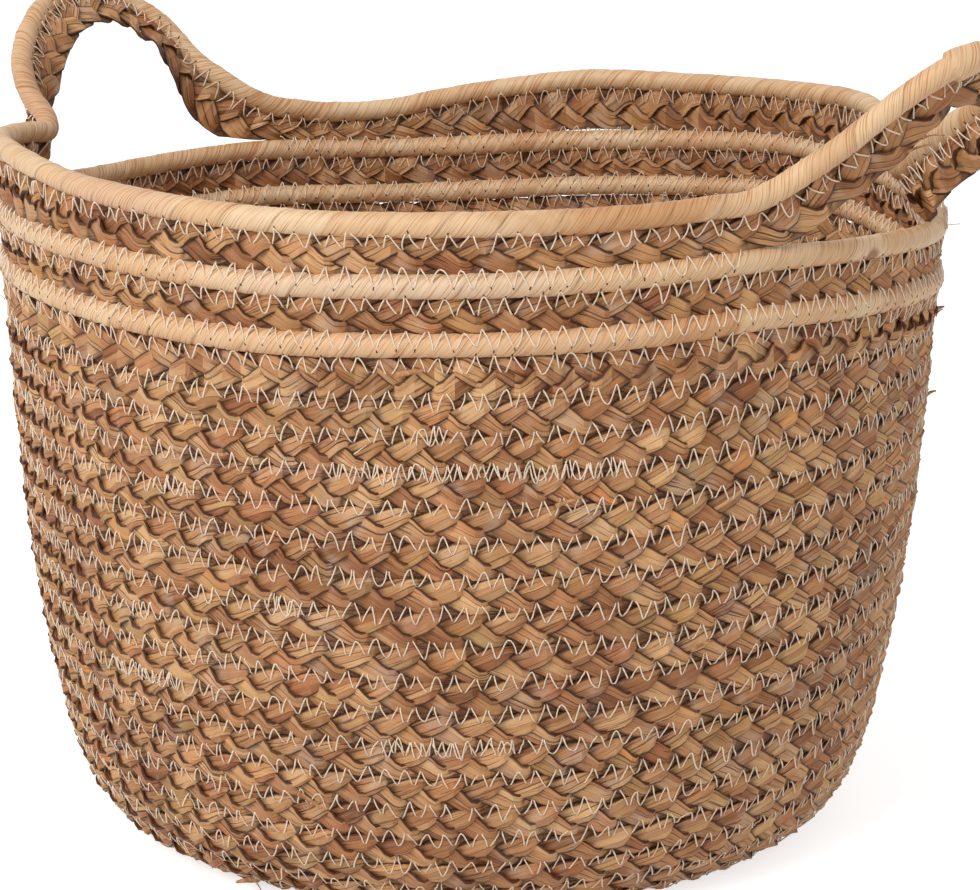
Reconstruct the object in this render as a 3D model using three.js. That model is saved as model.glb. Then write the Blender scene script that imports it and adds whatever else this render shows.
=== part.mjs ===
// A round storage basket of plaited seagrass with two raised carrying handles.
// One long three-strand plait is wound from the middle of the base out to its edge and on up the wall,
// each turn sewn to the one below. Three husk-wrapped cords and two bands of the same plait finish the top.
// The rim cord and the band under it rise together over an opening at each side: those are the handles.
// Millimetres, +Z up. The basket stands on z = 0, centred on the Z axis, with a handle at +X and one at -X.
import * as THREE from "three";

// Outline of the basket, taken along the middle of the plait's thickness
const baseRadius = 140; // level part of the base
const cornerWidth = 31; // how far the outline still runs outwards before it turns up
const bellyRadius = 197; // pulls the wall out to its full width
const bellyHeight = 56; // height at which it does so: lower gives a rounder belly
const rimRadius = 200; // middle of the rim cord
const rimHeight = 294; // middle of the rim cord above the floor

// Plaits and cords
const plaitThickness = 6.6;
const rowWidth = 13.4; // wound plait of the base and wall
const topRowWidth = 15.8; // row of plait laid the other way round, under the lower cord
const lowerBandWidth = 11.9; // band between the lower and the middle cord
const upperBandWidth = 14.8; // band between the middle and the rim cord
const cordDiameter = 9.6;
const seamGap = 0.5; // left between neighbours at every seam
const plaitEdge = 3; // depth of a plait's bevelled edge

// Winding
const coreRadius = 0.6; // hole left where the winding starts
const leastStripWidth = 5; // a plait's ends are trimmed down to this
const stepUpAngle = THREE.MathUtils.degToRad(130); // middle of the stretch where each turn climbs a row
const stepUpShare = 0.25; // share of a wall turn that climbs
const wallStrips = 10; // strips of plait joined end to end to make the wall
const stripJoint = 0.35; // gap at each joint between two strips

// Handles
const handleHalfAngle = THREE.MathUtils.degToRad(21.5); // from a handle's middle to its foot
const handleRise = 54; // of the rim cord above its level run
const handleLean = 48; // outwards, at the top of the rim cord
const handleFullness = 1.4; // 1 is a plain wave, more gives a broader top and steeper legs

// Fineness of the surfaces
const stepsPerTurn = 24;
const stepsPerHoop = 48;
const stepsPerHandle = 26;
const stepsBetweenHandles = 12;
const cordSides = 8;

const seagrass = { color: 0xa87f4f, roughness: 0.8, metalness: 0 };
const bandSeagrass = { color: 0x8f6638, roughness: 0.8, metalness: 0 };
const husk = { color: 0xdcb27a, roughness: 0.65, metalness: 0 };

const { lerp, smoothstep } = THREE.MathUtils;
const turn = 2 * Math.PI;

// The outline: x is the distance from the basket's axis and y the height.
const halfPlait = plaitThickness / 2;
const outline = new THREE.CurvePath();
const baseEdge = new THREE.Vector2(baseRadius, halfPlait);
outline.add(new THREE.LineCurve(new THREE.Vector2(0, halfPlait), baseEdge));
outline.add(
  new THREE.CubicBezierCurve(
    baseEdge,
    new THREE.Vector2(baseRadius + cornerWidth, halfPlait),
    new THREE.Vector2(bellyRadius, bellyHeight),
    new THREE.Vector2(rimRadius, rimHeight),
  ),
);
const outlineLength = outline.getLength();

// A place on the basket: along is measured on the outline from the middle of the base, outwards is off it.
function onOutline(along, outwards, angle) {
  const share = Math.min(along / outlineLength, 1);
  const point = outline.getPoint(share);
  const run = outline.getTangent(share);
  const radius = point.x + run.y * outwards;
  return new THREE.Vector3(
    radius * Math.cos(angle),
    radius * Math.sin(angle),
    point.y - run.x * outwards,
  );
}

// Places of the pieces along the outline, from the rim down
const middleCordAlong = outlineLength - cordDiameter - upperBandWidth - 2 * seamGap;
const lowerCordAlong = middleCordAlong - cordDiameter - lowerBandWidth - 2 * seamGap;
const lowerBandAlong = (middleCordAlong + lowerCordAlong) / 2;
const topRowAlong = lowerCordAlong - (cordDiameter + topRowWidth) / 2 - seamGap;
const windingLength = topRowAlong - topRowWidth / 2;

// The winding has a whole number of rows, so its pitch is drawn in or out a little to fill its length.
const rows = Math.round(windingLength / (rowWidth + seamGap));
const pitch = windingLength / rows;
const baseRows = Math.floor(baseRadius / pitch);

// Section of a plait with bevelled edges, from its inner edge out: [share across, share of thickness]
function plaitSection(width) {
  const edge = Math.min(plaitEdge, width / 3) / width;
  return [
    [0, 0],
    [edge, 1],
    [1 - edge, 1],
    [1, 0],
    [1 - edge, -1],
    [edge, -1],
  ];
}

// A closed solid through a row of sections with equally many points. A hoop joins its last to its first.
function solidThrough(sections, hoop) {
  const sides = sections[0].length;
  const positions = sections.flat().flatMap((point) => point.toArray());
  const faces = [];
  const last = hoop ? sections.length : sections.length - 1;
  for (let i = 0; i < last; i++) {
    const here = i * sides;
    const next = ((i + 1) % sections.length) * sides;
    for (let j = 0; j < sides; j++) {
      const k = (j + 1) % sides;
      faces.push(here + j, next + k, next + j);
      faces.push(here + j, here + k, next + k);
    }
  }
  if (!hoop) {
    const end = (sections.length - 1) * sides;
    for (let j = 1; j < sides - 1; j++) {
      faces.push(0, j + 1, j);
      faces.push(end, end + j, end + j + 1);
    }
  }
  const geometry = new THREE.BufferGeometry();
  geometry.setAttribute("position", new THREE.Float32BufferAttribute(positions, 3));
  geometry.setIndex(faces);
  geometry.computeVertexNormals();
  return geometry;
}

const basket = new THREE.Group();

function addPiece(name, geometry, finish) {
  const material = new THREE.MeshStandardMaterial({ ...finish, side: THREE.FrontSide });
  const piece = new THREE.Mesh(geometry, material);
  piece.name = name;
  basket.add(piece);
}

// Rows climbed after so many turns. Near the middle a turn climbs all the way round, as a flat spiral does.
// Further out it runs level and then steps up a row in a short stretch, so that the wall's rows look level.
function rowsClimbed(turns) {
  const whole = Math.floor(turns);
  const climbing = lerp(1, stepUpShare, Math.min(Math.max(whole, 0) / baseRows, 1));
  return whole + smoothstep(turns - whole, 1 - climbing, 1);
}

// Inner and outer edge of the winding after so many turns, measured along the outline
function stripEdges(turns) {
  const inner = Math.max(pitch * rowsClimbed(turns), coreRadius);
  const outer = Math.min(pitch * rowsClimbed(turns + 1), windingLength) - seamGap;
  return { inner, outer };
}

const windingStart = stepUpAngle + (stepUpShare / 2) * turn;

function stripSection(turns) {
  const { inner, outer } = stripEdges(turns);
  const angle = windingStart + turn * turns;
  return plaitSection(outer - inner).map(([across, through]) =>
    onOutline(lerp(inner, outer, across), -through * halfPlait, angle),
  );
}

// The winding's ends lie where its strip has narrowed to the trimmed width.
function trimmedEnd(from, stride) {
  let turns = from;
  let edges = stripEdges(turns);
  while (edges.outer - edges.inner > leastStripWidth) {
    turns += stride;
    edges = stripEdges(turns);
  }
  return turns - stride;
}

const trimStride = 1 / 200;
const windingFrom = trimmedEnd(0, -trimStride);
const windingTo = trimmedEnd(rows - 1, trimStride);

// A strip of the winding between two of its steps. Every strip bends at whole steps, so that neighbouring
// turns bend at the same angles and the gap between them stays even.
function addStrip(name, from, to) {
  const steps = [from];
  for (let step = Math.floor(from) + 1; step < to; step++) steps.push(step);
  steps.push(to);
  const sections = steps.map((step) => stripSection(step / stepsPerTurn));
  addPiece(name, solidThrough(sections, false), seagrass);
}

// The wall starts at the edge of the base. Its strips meet at whole steps, each cut short by a joint.
const wallStart = baseRows * stepsPerTurn;
const windingEnd = windingTo * stepsPerTurn;
const jointSteps = (stripJoint / (turn * baseRadius)) * stepsPerTurn;
const stepsPerStrip = (windingEnd - wallStart) / wallStrips;
addStrip("base_plait", windingFrom * stepsPerTurn, wallStart - jointSteps);
for (let i = 0; i < wallStrips; i++) {
  const from = wallStart + Math.round(i * stepsPerStrip);
  const to = i < wallStrips - 1 ? wallStart + Math.round((i + 1) * stepsPerStrip) - jointSteps : windingEnd;
  addStrip(`wall_plait_${i + 1}`, from, to);
}

// Least gap between neighbouring turns, measured from points of each outer edge to the edge facing it
const seamPoints = 2400;
const facingPoints = 40;
const facingTurns = 0.04; // how far round the facing edge is searched for its nearest point
function leastSeam() {
  let least = Infinity;
  for (let i = 0; i <= seamPoints; i++) {
    const turns = lerp(windingFrom, windingTo - 1, i / seamPoints);
    const edge = onOutline(stripEdges(turns).outer, 0, turn * turns);
    for (let j = 0; j <= facingPoints; j++) {
      const facing = Math.min(turns + 1 + facingTurns * (j / facingPoints - 0.5), windingTo);
      const across = onOutline(stripEdges(facing).inner, 0, turn * facing);
      least = Math.min(least, edge.distanceTo(across));
    }
  }
  return least;
}
console.log(`${rows} rows at ${pitch.toFixed(2)} mm, least gap between turns ${leastSeam().toFixed(2)} mm`);

// Hoops that run level round the basket
function addLevelHoop(name, finish, sectionAt) {
  const sections = [];
  for (let i = 0; i < stepsPerHoop; i++) sections.push(sectionAt((turn * i) / stepsPerHoop));
  addPiece(name, solidThrough(sections, true), finish);
}

function addPlaitHoop(name, finish, along, width) {
  addLevelHoop(name, finish, (angle) =>
    plaitSection(width).map(([across, through]) =>
      onOutline(along + (across - 0.5) * width, -through * halfPlait, angle),
    ),
  );
}

// Round section of a cord: how far each corner lies across the cord, as [up, outwards]
const cordRadius = cordDiameter / 2;
const cordCorners = Array.from({ length: cordSides }, (_, i) => {
  const angle = (turn * (i + 0.5)) / cordSides;
  return [cordRadius * Math.cos(angle), cordRadius * Math.sin(angle)];
});

// A step off the outline at one place, up along the wall and outwards from it
function offsetOnWall(along, up, outwards, angle) {
  const run = outline.getTangent(along / outlineLength);
  const radial = run.x * up + run.y * outwards;
  return new THREE.Vector3(
    radial * Math.cos(angle),
    radial * Math.sin(angle),
    run.y * up - run.x * outwards,
  );
}

function addCordHoop(name, along) {
  addLevelHoop(name, husk, (angle) => {
    const middle = onOutline(along, 0, angle);
    return cordCorners.map(([up, outwards]) => offsetOnWall(along, up, outwards, angle).add(middle));
  });
}

addPlaitHoop("top_row_plait", seagrass, topRowAlong, topRowWidth);
addCordHoop("lower_cord", lowerCordAlong);
addPlaitHoop("lower_band_plait", bandSeagrass, lowerBandAlong, lowerBandWidth);
addCordHoop("middle_cord", middleCordAlong);

// How far up its handle the rim is at an angle round the basket: 0 on the level, 1 at a handle's top
function handleShare(angle) {
  const away = Math.abs(Math.asin(Math.sin(angle)));
  const share = Math.min(away / handleHalfAngle, 1);
  return (1 + Math.cos(Math.PI * share ** handleFullness)) / 2;
}

function rimPoint(angle) {
  const share = handleShare(angle);
  const radius = rimRadius + handleLean * share;
  return new THREE.Vector3(
    radius * Math.cos(angle),
    radius * Math.sin(angle),
    rimHeight + handleRise * share,
  );
}

// Directions at a point of the rim: outwards square to the handle's leaning face, and down in that face
const fullLean = Math.atan2(handleLean, handleRise);
const rimRun = outline.getTangent(1);
const levelLean = Math.atan2(rimRun.x, rimRun.y);

function rimDirections(angle) {
  const nudge = 0.001;
  const along = rimPoint(angle + nudge).sub(rimPoint(angle - nudge)).normalize();
  const lean = lerp(levelLean, fullLean, Math.sqrt(handleShare(angle)));
  const face = new THREE.Vector3(
    Math.cos(lean) * Math.cos(angle),
    Math.cos(lean) * Math.sin(angle),
    -Math.sin(lean),
  );
  const down = new THREE.Vector3().crossVectors(along, face).normalize();
  const outwards = new THREE.Vector3().crossVectors(down, along).normalize();
  return { down, outwards };
}

// The rim is stepped finely over the handles and coarsely between them.
const rimAngles = [];
for (const middle of [0, Math.PI]) {
  for (let i = 0; i < stepsPerHandle; i++) {
    rimAngles.push(middle + lerp(-handleHalfAngle, handleHalfAngle, i / stepsPerHandle));
  }
  const foot = middle + handleHalfAngle;
  const nextFoot = middle + Math.PI - handleHalfAngle;
  for (let i = 0; i < stepsBetweenHandles; i++) {
    rimAngles.push(lerp(foot, nextFoot, i / stepsBetweenHandles));
  }
}

// A hoop that follows the rim, with its corners given as [down from the rim, outwards]
function addRimHoop(name, finish, corners) {
  const sections = rimAngles.map((angle) => {
    const { down, outwards } = rimDirections(angle);
    return corners.map(([below, out]) =>
      rimPoint(angle).addScaledVector(down, below).addScaledVector(outwards, out),
    );
  });
  addPiece(name, solidThrough(sections, true), finish);
}

const upperBandTop = cordRadius + seamGap;
const upperBandCorners = plaitSection(upperBandWidth).map(([across, through]) => [
  upperBandTop + (1 - across) * upperBandWidth,
  -through * halfPlait,
]);
addRimHoop("upper_band_plait", bandSeagrass, upperBandCorners);
addRimHoop(
  "rim_cord",
  husk,
  cordCorners.map(([up, outwards]) => [-up, outwards]),
);

export default basket;
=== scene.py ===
import math

import bpy
import numpy as np
from mathutils import Euler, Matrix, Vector
from mathutils.bvhtree import BVHTree


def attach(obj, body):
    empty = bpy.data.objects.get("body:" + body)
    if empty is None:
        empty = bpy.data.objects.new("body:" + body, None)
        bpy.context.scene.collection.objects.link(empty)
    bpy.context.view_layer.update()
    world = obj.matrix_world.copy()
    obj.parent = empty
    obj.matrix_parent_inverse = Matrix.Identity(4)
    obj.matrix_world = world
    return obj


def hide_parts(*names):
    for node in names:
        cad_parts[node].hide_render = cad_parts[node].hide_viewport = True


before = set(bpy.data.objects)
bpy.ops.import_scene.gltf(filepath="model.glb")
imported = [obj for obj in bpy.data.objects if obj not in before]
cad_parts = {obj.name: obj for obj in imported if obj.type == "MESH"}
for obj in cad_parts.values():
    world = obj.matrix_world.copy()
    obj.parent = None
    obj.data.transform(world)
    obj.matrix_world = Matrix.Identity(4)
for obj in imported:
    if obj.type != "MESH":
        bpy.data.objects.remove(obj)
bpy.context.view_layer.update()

MM = 0.001
TURN = 2 * math.pi

# Outline of the basket, taken along the middle of the plait's thickness
PLAIT_THICKNESS = 6.6 * MM
BASE_RADIUS = 140 * MM
CORNER_WIDTH = 31 * MM
BELLY_RADIUS = 197 * MM
BELLY_HEIGHT = 56 * MM
RIM_RADIUS = 200 * MM
RIM_HEIGHT = 294 * MM

# Plaits and cords
ROW_WIDTH = 13.4 * MM
TOP_ROW_WIDTH = 15.8 * MM
LOWER_BAND_WIDTH = 11.9 * MM
UPPER_BAND_WIDTH = 14.8 * MM
CORD_DIAMETER = 9.6 * MM
CORD_RADIUS = CORD_DIAMETER / 2
SEAM_GAP = 0.5 * MM

# Winding
CORE_RADIUS = 0.6 * MM
LEAST_STRIP_WIDTH = 5 * MM
STEP_UP_ANGLE = math.radians(130)
STEP_UP_SHARE = 0.25
TRIM_STRIDE = 1 / 200
WALL_STRIPS = sum(node.startswith("wall_plait_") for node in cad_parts)
STEPS_PER_TURN = 24

# Course of the rim cord, handles included: angle in degrees, then how far it lies out and up from the level
# rim, in millimetres. The level stretches behind the handles are drawn in and sag.
RIM_COURSE = (
    (-50, 0, -2.5),
    (-34, 0, -1.5),
    (-25, 0, 0),
    (-19, 1, 1.5),
    (-15, 6, 9),
    (-12, 20, 22),
    (-9.4, 37, 39),
    (-6, 50, 52),
    (-1, 55, 56),
    (4, 50, 50),
    (9, 30, 30),
    (13, 10, 16),
    (17, -3, 5),
    (20.5, -12, -3),
    (26, -15.5, -5),
    (38, -15, -4),
    (50, -10, 0),
    (64, 0, 5),
    (80, 0, 5.2),
    (97, 0, 4),
    (112, 0, 3.2),
    (124, 0, -2),
    (132, 0, -6.5),
    (140, 0, -11.5),
    (153, 0, -10.5),
    (159, 2, -5.5),
    (163, 7, 3.5),
    (166.5, 17, 15),
    (169.5, 30, 33),
    (173, 38, 44),
    (179, 41, 50),
    (185.5, 37, 46.5),
    (190.5, 30, 39),
    (195.5, 22, 30),
    (199.5, 14, 21),
    (202, 6, 12),
    (203.5, -3, 4),
    (205.5, -7, -0.5),
    (211, -4, 0.5),
    (220, 0, 2.5),
    (240, 0, 5),
    (262, 0, 0.5),
    (285, 0, -3),
)

# How far the band of a handle leans towards the basket's axis as it hangs, for each unit it drops: angle in
# degrees and lean
HANDLE_LEAN = (
    (-60, 0),
    (-22, 0),
    (-15, 0.5),
    (-4, 0.5),
    (5, -0.1),
    (14, -0.35),
    (22, 0),
    (120, 0),
    (157, 0.3),
    (166, 0.9),
    (180, 1.3),
    (192, 1.1),
    (198, 0.9),
    (204, 0.2),
    (212, 0),
)

# The rim is level where it stands no higher above RIM_HEIGHT than the first of these, and a handle where it
# stands higher than the second
HANDLE_RISES = (2 * MM, 16 * MM)

# Level stretches of the upper band, between the feet of the handles, in degrees
LEVEL_STRETCHES = ((22, 157), (206, 339))

# Least and most that the upper band is squeezed or spread to fill the room between its cords
BAND_SHARES = (0.7, 1.2)

# Rise and fall of the level cords round the basket: angle in degrees and height in millimetres
CORD_WAVE = (
    (-180, -5),
    (-150, -1),
    (-115, 2.4),
    (-95, 0),
    (-78, -1.8),
    (-50, -0.4),
    (-35, 1),
    (-18, 3.6),
    (5, 0),
    (20, -3.5),
    (35, -6),
    (50, -2),
    (65, 2.5),
    (80, 5),
    (95, 1.8),
    (115, -2.5),
    (140, -5.8),
    (158, -4),
    (170, -4.5),
)
CORD_WAVE_FADES_BELOW = 120 * MM

# The corner at the foot of the wall bulges outwards a little: how far, and where along the outline
FOOT_BULGE = 2 * MM
FOOT_BULGE_RISES = (40 * MM, 150 * MM)
FOOT_BULGE_FADES = (165 * MM, 235 * MM)

# Hand-made unevenness of the wall: how many waves go round the basket, how far they lean at most (in radians
# for each metre along the outline), how much of their sum counts, how far it moves the wall along its outline
# and off it, and where along the outline it sets in
WAVES_ROUND = (2, 3, 5, 7, 11, 16)
WAVE_LEAN = 30
WAVE_SUM_SHARE = 0.6
UNEVEN_UP = {"seed": 3, "amount": 0.6 * MM}
UNEVEN_OUT = {"seed": 8, "amount": 1.3 * MM}
UNEVEN_RISES = (BASE_RADIUS + 10 * MM, BASE_RADIUS + 70 * MM)

# Fineness of the rows of points that the courses are measured on
OUTLINE_STEPS = 400
OUTLINE_BEYOND = 100 * MM
WINDING_STEPS = 40000
HOOP_STEPS = 4000
RIM_STEPS = 6000
RIM_RUN_REACH = 3
LEAST_KNOTS = 4


def smoothstep(value, low, high):
    share = np.clip((value - low) / (high - low), 0, 1)
    return share * share * (3 - 2 * share)


def mix(low, high, share):
    return low + (high - low) * share


def unit(vectors):
    return vectors / np.linalg.norm(vectors, axis=-1, keepdims=True)


def along_path(points):
    """The distance of each point of a row from the first, along the row."""
    return np.concatenate([[0], np.cumsum(np.linalg.norm(np.diff(points, axis=0), axis=1))])


def outline_row():
    """The outline as a fine row of points, with their distance along it and the direction it runs in. It goes
    straight on a little way past the rim."""
    share = np.linspace(0, 1, OUTLINE_STEPS + 1)[:, None]
    rest = 1 - share
    half = PLAIT_THICKNESS / 2
    corners = [
        (BASE_RADIUS, half),
        (BASE_RADIUS + CORNER_WIDTH, half),
        (BELLY_RADIUS, BELLY_HEIGHT),
        (RIM_RADIUS, RIM_HEIGHT),
    ]
    weights = [rest**3, 3 * rest**2 * share, 3 * rest * share**2, share**3]
    wall = sum(weight * np.array(corner) for weight, corner in zip(weights, corners))
    points = np.vstack([[0, half], wall])
    along = along_path(points)
    run = np.vstack([[1, 0], unit(np.gradient(points[1:], along[1:], axis=0))])
    points = np.vstack([points, points[-1] + run[-1] * OUTLINE_BEYOND])
    return np.append(along, along[-1] + OUTLINE_BEYOND), points, np.vstack([run, run[-1]])


OUTLINE_ALONG, OUTLINE_POINTS, OUTLINE_RUN = outline_row()
OUTLINE_LENGTH = OUTLINE_ALONG[-2]

# Places of the pieces along the outline, from the rim down
MIDDLE_CORD_ALONG = OUTLINE_LENGTH - CORD_DIAMETER - UPPER_BAND_WIDTH - 2 * SEAM_GAP
LOWER_CORD_ALONG = MIDDLE_CORD_ALONG - CORD_DIAMETER - LOWER_BAND_WIDTH - 2 * SEAM_GAP
LOWER_BAND_ALONG = (MIDDLE_CORD_ALONG + LOWER_CORD_ALONG) / 2
TOP_ROW_ALONG = LOWER_CORD_ALONG - (CORD_DIAMETER + TOP_ROW_WIDTH) / 2 - SEAM_GAP
WINDING_LENGTH = TOP_ROW_ALONG - TOP_ROW_WIDTH / 2
ROWS = round(WINDING_LENGTH / (ROW_WIDTH + SEAM_GAP))
PITCH = WINDING_LENGTH / ROWS
BASE_ROWS = int(BASE_RADIUS / PITCH)


def unevenness(angle, along, seed, amount):
    """Waves that run through the whole wall: neighbours move together, so no seam opens."""
    draws = np.random.default_rng(seed)
    total = 0
    for waves in WAVES_ROUND:
        lean = draws.uniform(-WAVE_LEAN, WAVE_LEAN)
        start = draws.uniform(0, TURN)
        total = total + np.sin(waves * angle + lean * along + start) / math.sqrt(waves)
    return amount * total * WAVE_SUM_SHARE


def closed_course(at, knots, period, values):
    """A smooth closed course, which repeats after the period, through the values that belong to the knots."""
    knots = np.concatenate([[knots[-1] - period], knots, [knots[0] + period, knots[1] + period]])
    values = np.vstack([values[-1:], values, values[:2]])
    spans = np.diff(knots)[:, None]
    slopes = np.diff(values, axis=0) / spans
    tangents = (slopes[:-1] * spans[1:] + slopes[1:] * spans[:-1]) / (spans[1:] + spans[:-1])
    at = knots[1] + (at - knots[1]) % period
    i = np.clip(np.searchsorted(knots, at, side="right") - 1, 1, len(knots) - 3)
    span = knots[i + 1] - knots[i]
    t = ((at - knots[i]) / span)[..., None]
    span = span[..., None]
    low = values[i] * (2 * t**3 - 3 * t**2 + 1) + tangents[i - 1] * span * (t**3 - 2 * t**2 + t)
    return low + values[i + 1] * (3 * t**2 - 2 * t**3) + tangents[i] * span * (t**3 - t**2)


WAVE_ANGLES = np.radians([angle for angle, height in CORD_WAVE])
WAVE_HEIGHTS = np.array([[height * MM] for angle, height in CORD_WAVE])


def cord_wave(angle):
    return closed_course(angle, WAVE_ANGLES, TURN, WAVE_HEIGHTS)[..., 0]


def on_outline(along, outwards, angle):
    """Points of the basket at these distances along the outline, off it and round the axis."""
    along, outwards, angle = np.broadcast_arrays(along, outwards, angle)
    on_wall = smoothstep(along, *UNEVEN_RISES)
    near_cords = smoothstep(along, LOWER_CORD_ALONG - CORD_WAVE_FADES_BELOW, LOWER_CORD_ALONG)
    along = along + near_cords * cord_wave(angle)
    along = along + on_wall * unevenness(angle, along, **UNEVEN_UP)
    outwards = outwards + on_wall * unevenness(angle, along, **UNEVEN_OUT)
    x = np.interp(along, OUTLINE_ALONG, OUTLINE_POINTS[:, 0])
    y = np.interp(along, OUTLINE_ALONG, OUTLINE_POINTS[:, 1])
    run_x = np.interp(along, OUTLINE_ALONG, OUTLINE_RUN[:, 0])
    run_y = np.interp(along, OUTLINE_ALONG, OUTLINE_RUN[:, 1])
    bulge = smoothstep(along, *FOOT_BULGE_RISES) * (1 - smoothstep(along, *FOOT_BULGE_FADES))
    radius = x + run_y * outwards + FOOT_BULGE * bulge
    return np.stack([radius * np.cos(angle), radius * np.sin(angle), y - run_x * outwards], axis=-1)


# Winding
def rows_climbed(turns):
    """How many rows the winding's inner edge has climbed after so many turns."""
    whole = np.floor(turns)
    climbing = mix(1, STEP_UP_SHARE, np.clip(whole / BASE_ROWS, 0, 1))
    return whole + smoothstep(turns - whole, 1 - climbing, 1)


def strip_edges(turns):
    """Where the inner and the outer edge of the winding's strip lie along the outline."""
    inner = np.maximum(PITCH * rows_climbed(turns), CORE_RADIUS)
    outer = np.minimum(PITCH * rows_climbed(turns + 1), WINDING_LENGTH) - SEAM_GAP
    return inner, outer


def strip_width(turns):
    inner, outer = strip_edges(turns)
    return outer - inner


WINDING_START = STEP_UP_ANGLE + STEP_UP_SHARE / 2 * TURN


def trimmed_end(turns, stride):
    """The last place on the way from here where the strip is still broad enough to plait."""
    while strip_width(np.float64(turns)) > LEAST_STRIP_WIDTH:
        turns += stride
    return turns - stride


WINDING_FROM = trimmed_end(0, -TRIM_STRIDE)
WINDING_TO = trimmed_end(ROWS - 1, TRIM_STRIDE)


# Rim and handles
def rim_row():
    """The rim's course as a fine closed row of points, and a distance along it for each."""
    angle, outwards, up = np.array(RIM_COURSE).T
    angle = np.radians(angle)
    radius = RIM_RADIUS + outwards * MM
    points = np.stack([radius * np.cos(angle), radius * np.sin(angle), RIM_HEIGHT + up * MM], axis=1)
    reached = along_path(np.vstack([points, points[:1]]))
    evenly = np.linspace(0, reached[-1], RIM_STEPS + 1)[:-1]
    fine = closed_course(evenly, reached[:-1], reached[-1], points)
    fine = np.vstack([fine, fine[:1]])
    return along_path(fine), fine


RIM_ALONG, RIM_POINTS = rim_row()
RIM_LENGTH = RIM_ALONG[-1]
RIM_AHEAD = np.roll(RIM_POINTS[:-1], -RIM_RUN_REACH, axis=0)
RIM_BEHIND = np.roll(RIM_POINTS[:-1], RIM_RUN_REACH, axis=0)
RIM_RUN = unit(RIM_AHEAD - RIM_BEHIND)
RIM_RUN = np.vstack([RIM_RUN, RIM_RUN[:1]])


def on_row(distance, along, row):
    """The values of a row at these distances along it."""
    return np.stack([np.interp(distance, along, row[:, axis]) for axis in range(row.shape[1])], axis=-1)


def rim_hang():
    """How the upper band hangs from the rim cord: down to the middle cord, or freely on a handle."""
    angle = np.arctan2(RIM_POINTS[:, 1], RIM_POINTS[:, 0])
    seat = on_outline(MIDDLE_CORD_ALONG, 0, angle)
    drop = seat - RIM_POINTS
    reach = np.linalg.norm(drop, axis=1)
    free = smoothstep(RIM_POINTS[:, 2] - RIM_HEIGHT, *HANDLE_RISES)[:, None]
    radial = np.stack([np.cos(angle), np.sin(angle), np.zeros_like(angle)], axis=1)
    lean_angles, leans = np.array(HANDLE_LEAN).T
    lean = closed_course(angle, np.radians(lean_angles), TURN, leans[:, None])
    hang = unit(mix(unit(drop), unit(np.array([0, 0, -1]) - lean * radial), free))
    down = unit(hang - np.sum(hang * RIM_RUN, axis=1)[:, None] * RIM_RUN)
    out = np.cross(down, RIM_RUN)
    room = (reach - CORD_DIAMETER) / (UPPER_BAND_WIDTH + 2 * SEAM_GAP)
    return down, out, mix(np.clip(room, *BAND_SHARES)[:, None], 1, free)


RIM_DOWN, RIM_OUT, BAND_SHARE = rim_hang()


def on_rim(below, outwards, distance):
    """Points so far below the rim cord's middle line, off the band and along the rim."""
    below, outwards, distance = np.broadcast_arrays(below, outwards, distance)
    distance = distance % RIM_LENGTH
    share = on_row(distance, RIM_ALONG, BAND_SHARE)[..., 0]
    below = np.where(below > CORD_RADIUS, CORD_RADIUS + (below - CORD_RADIUS) * share, below)
    down = on_row(distance, RIM_ALONG, RIM_DOWN)
    out = on_row(distance, RIM_ALONG, RIM_OUT)
    middle = on_row(distance, RIM_ALONG, RIM_POINTS)
    return middle + down * below[..., None] + out * outwards[..., None]


def drift(distance, spacing, amount, draws, total, hoop):
    """A smooth random curve with its own value every so often. The ends of a hoop's curve meet."""
    count = max(int(round(total / spacing)), LEAST_KNOTS)
    knots = draws.uniform(-1, 1, count + 1)
    if hoop:
        knots[-1] = knots[0]
    place = np.clip(distance / total, 0, 1) * count
    low = np.minimum(place.astype(int), count - 1)
    share = smoothstep(place - low, 0, 1)
    return amount * (knots[low] * (1 - share) + knots[low + 1] * share)


def new_mesh(name, points, faces, corner_uv=None, uv_name="leaf", sharp=None):
    """A mesh object from points and a list of arrays of faces, each array with its own number of corners."""
    mesh = bpy.data.meshes.new(name)
    corners = np.concatenate([group.ravel() for group in faces])
    sizes = np.concatenate([np.full(len(group), group.shape[1]) for group in faces])
    mesh.vertices.add(len(points))
    mesh.vertices.foreach_set("co", np.asarray(points, np.float32).ravel())
    mesh.loops.add(len(corners))
    mesh.loops.foreach_set("vertex_index", corners.astype(np.int32))
    mesh.polygons.add(len(sizes))
    mesh.polygons.foreach_set("loop_start", (np.cumsum(sizes) - sizes).astype(np.int32))
    if corner_uv is not None:
        layer = mesh.uv_layers.new(name=uv_name)
        uv = np.zeros((len(corners), 2), np.float32)
        uv[: len(corner_uv)] = corner_uv
        layer.data.foreach_set("uv", uv.ravel())
    mesh.update(calc_edges=True)
    mesh.shade_smooth()
    if sharp:
        mesh.set_sharp_from_angle(angle=sharp)
    piece = bpy.data.objects.new(name, mesh)
    bpy.context.scene.collection.objects.link(piece)
    return piece


# PLAITS
# A plait has three strands of leaf. Each weaves from edge to edge, and shows on one side of the plait
# while it runs from the middle to the edge and on the other while it runs back.
STRANDS = 3
STRAND_PERIOD = 51 * MM
STEPS_PER_PERIOD = 22
LEAST_FLOOR_GAP = 0.2 * MM

# Course of a strand: how far it swings to a side, how straight it crosses, how far it lifts off the plait's
# middle, how much it turns about its own run, and where the leaf pattern changes from petal to petal, out of
# sight
STRAND_SWING = 4.8 * MM
STRAND_STRAIGHTNESS = 0.08
STRAND_LIFT = 1.6 * MM
STRAND_ROLL = 0.26
HIDDEN_PHASE = math.radians(-30)

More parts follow.
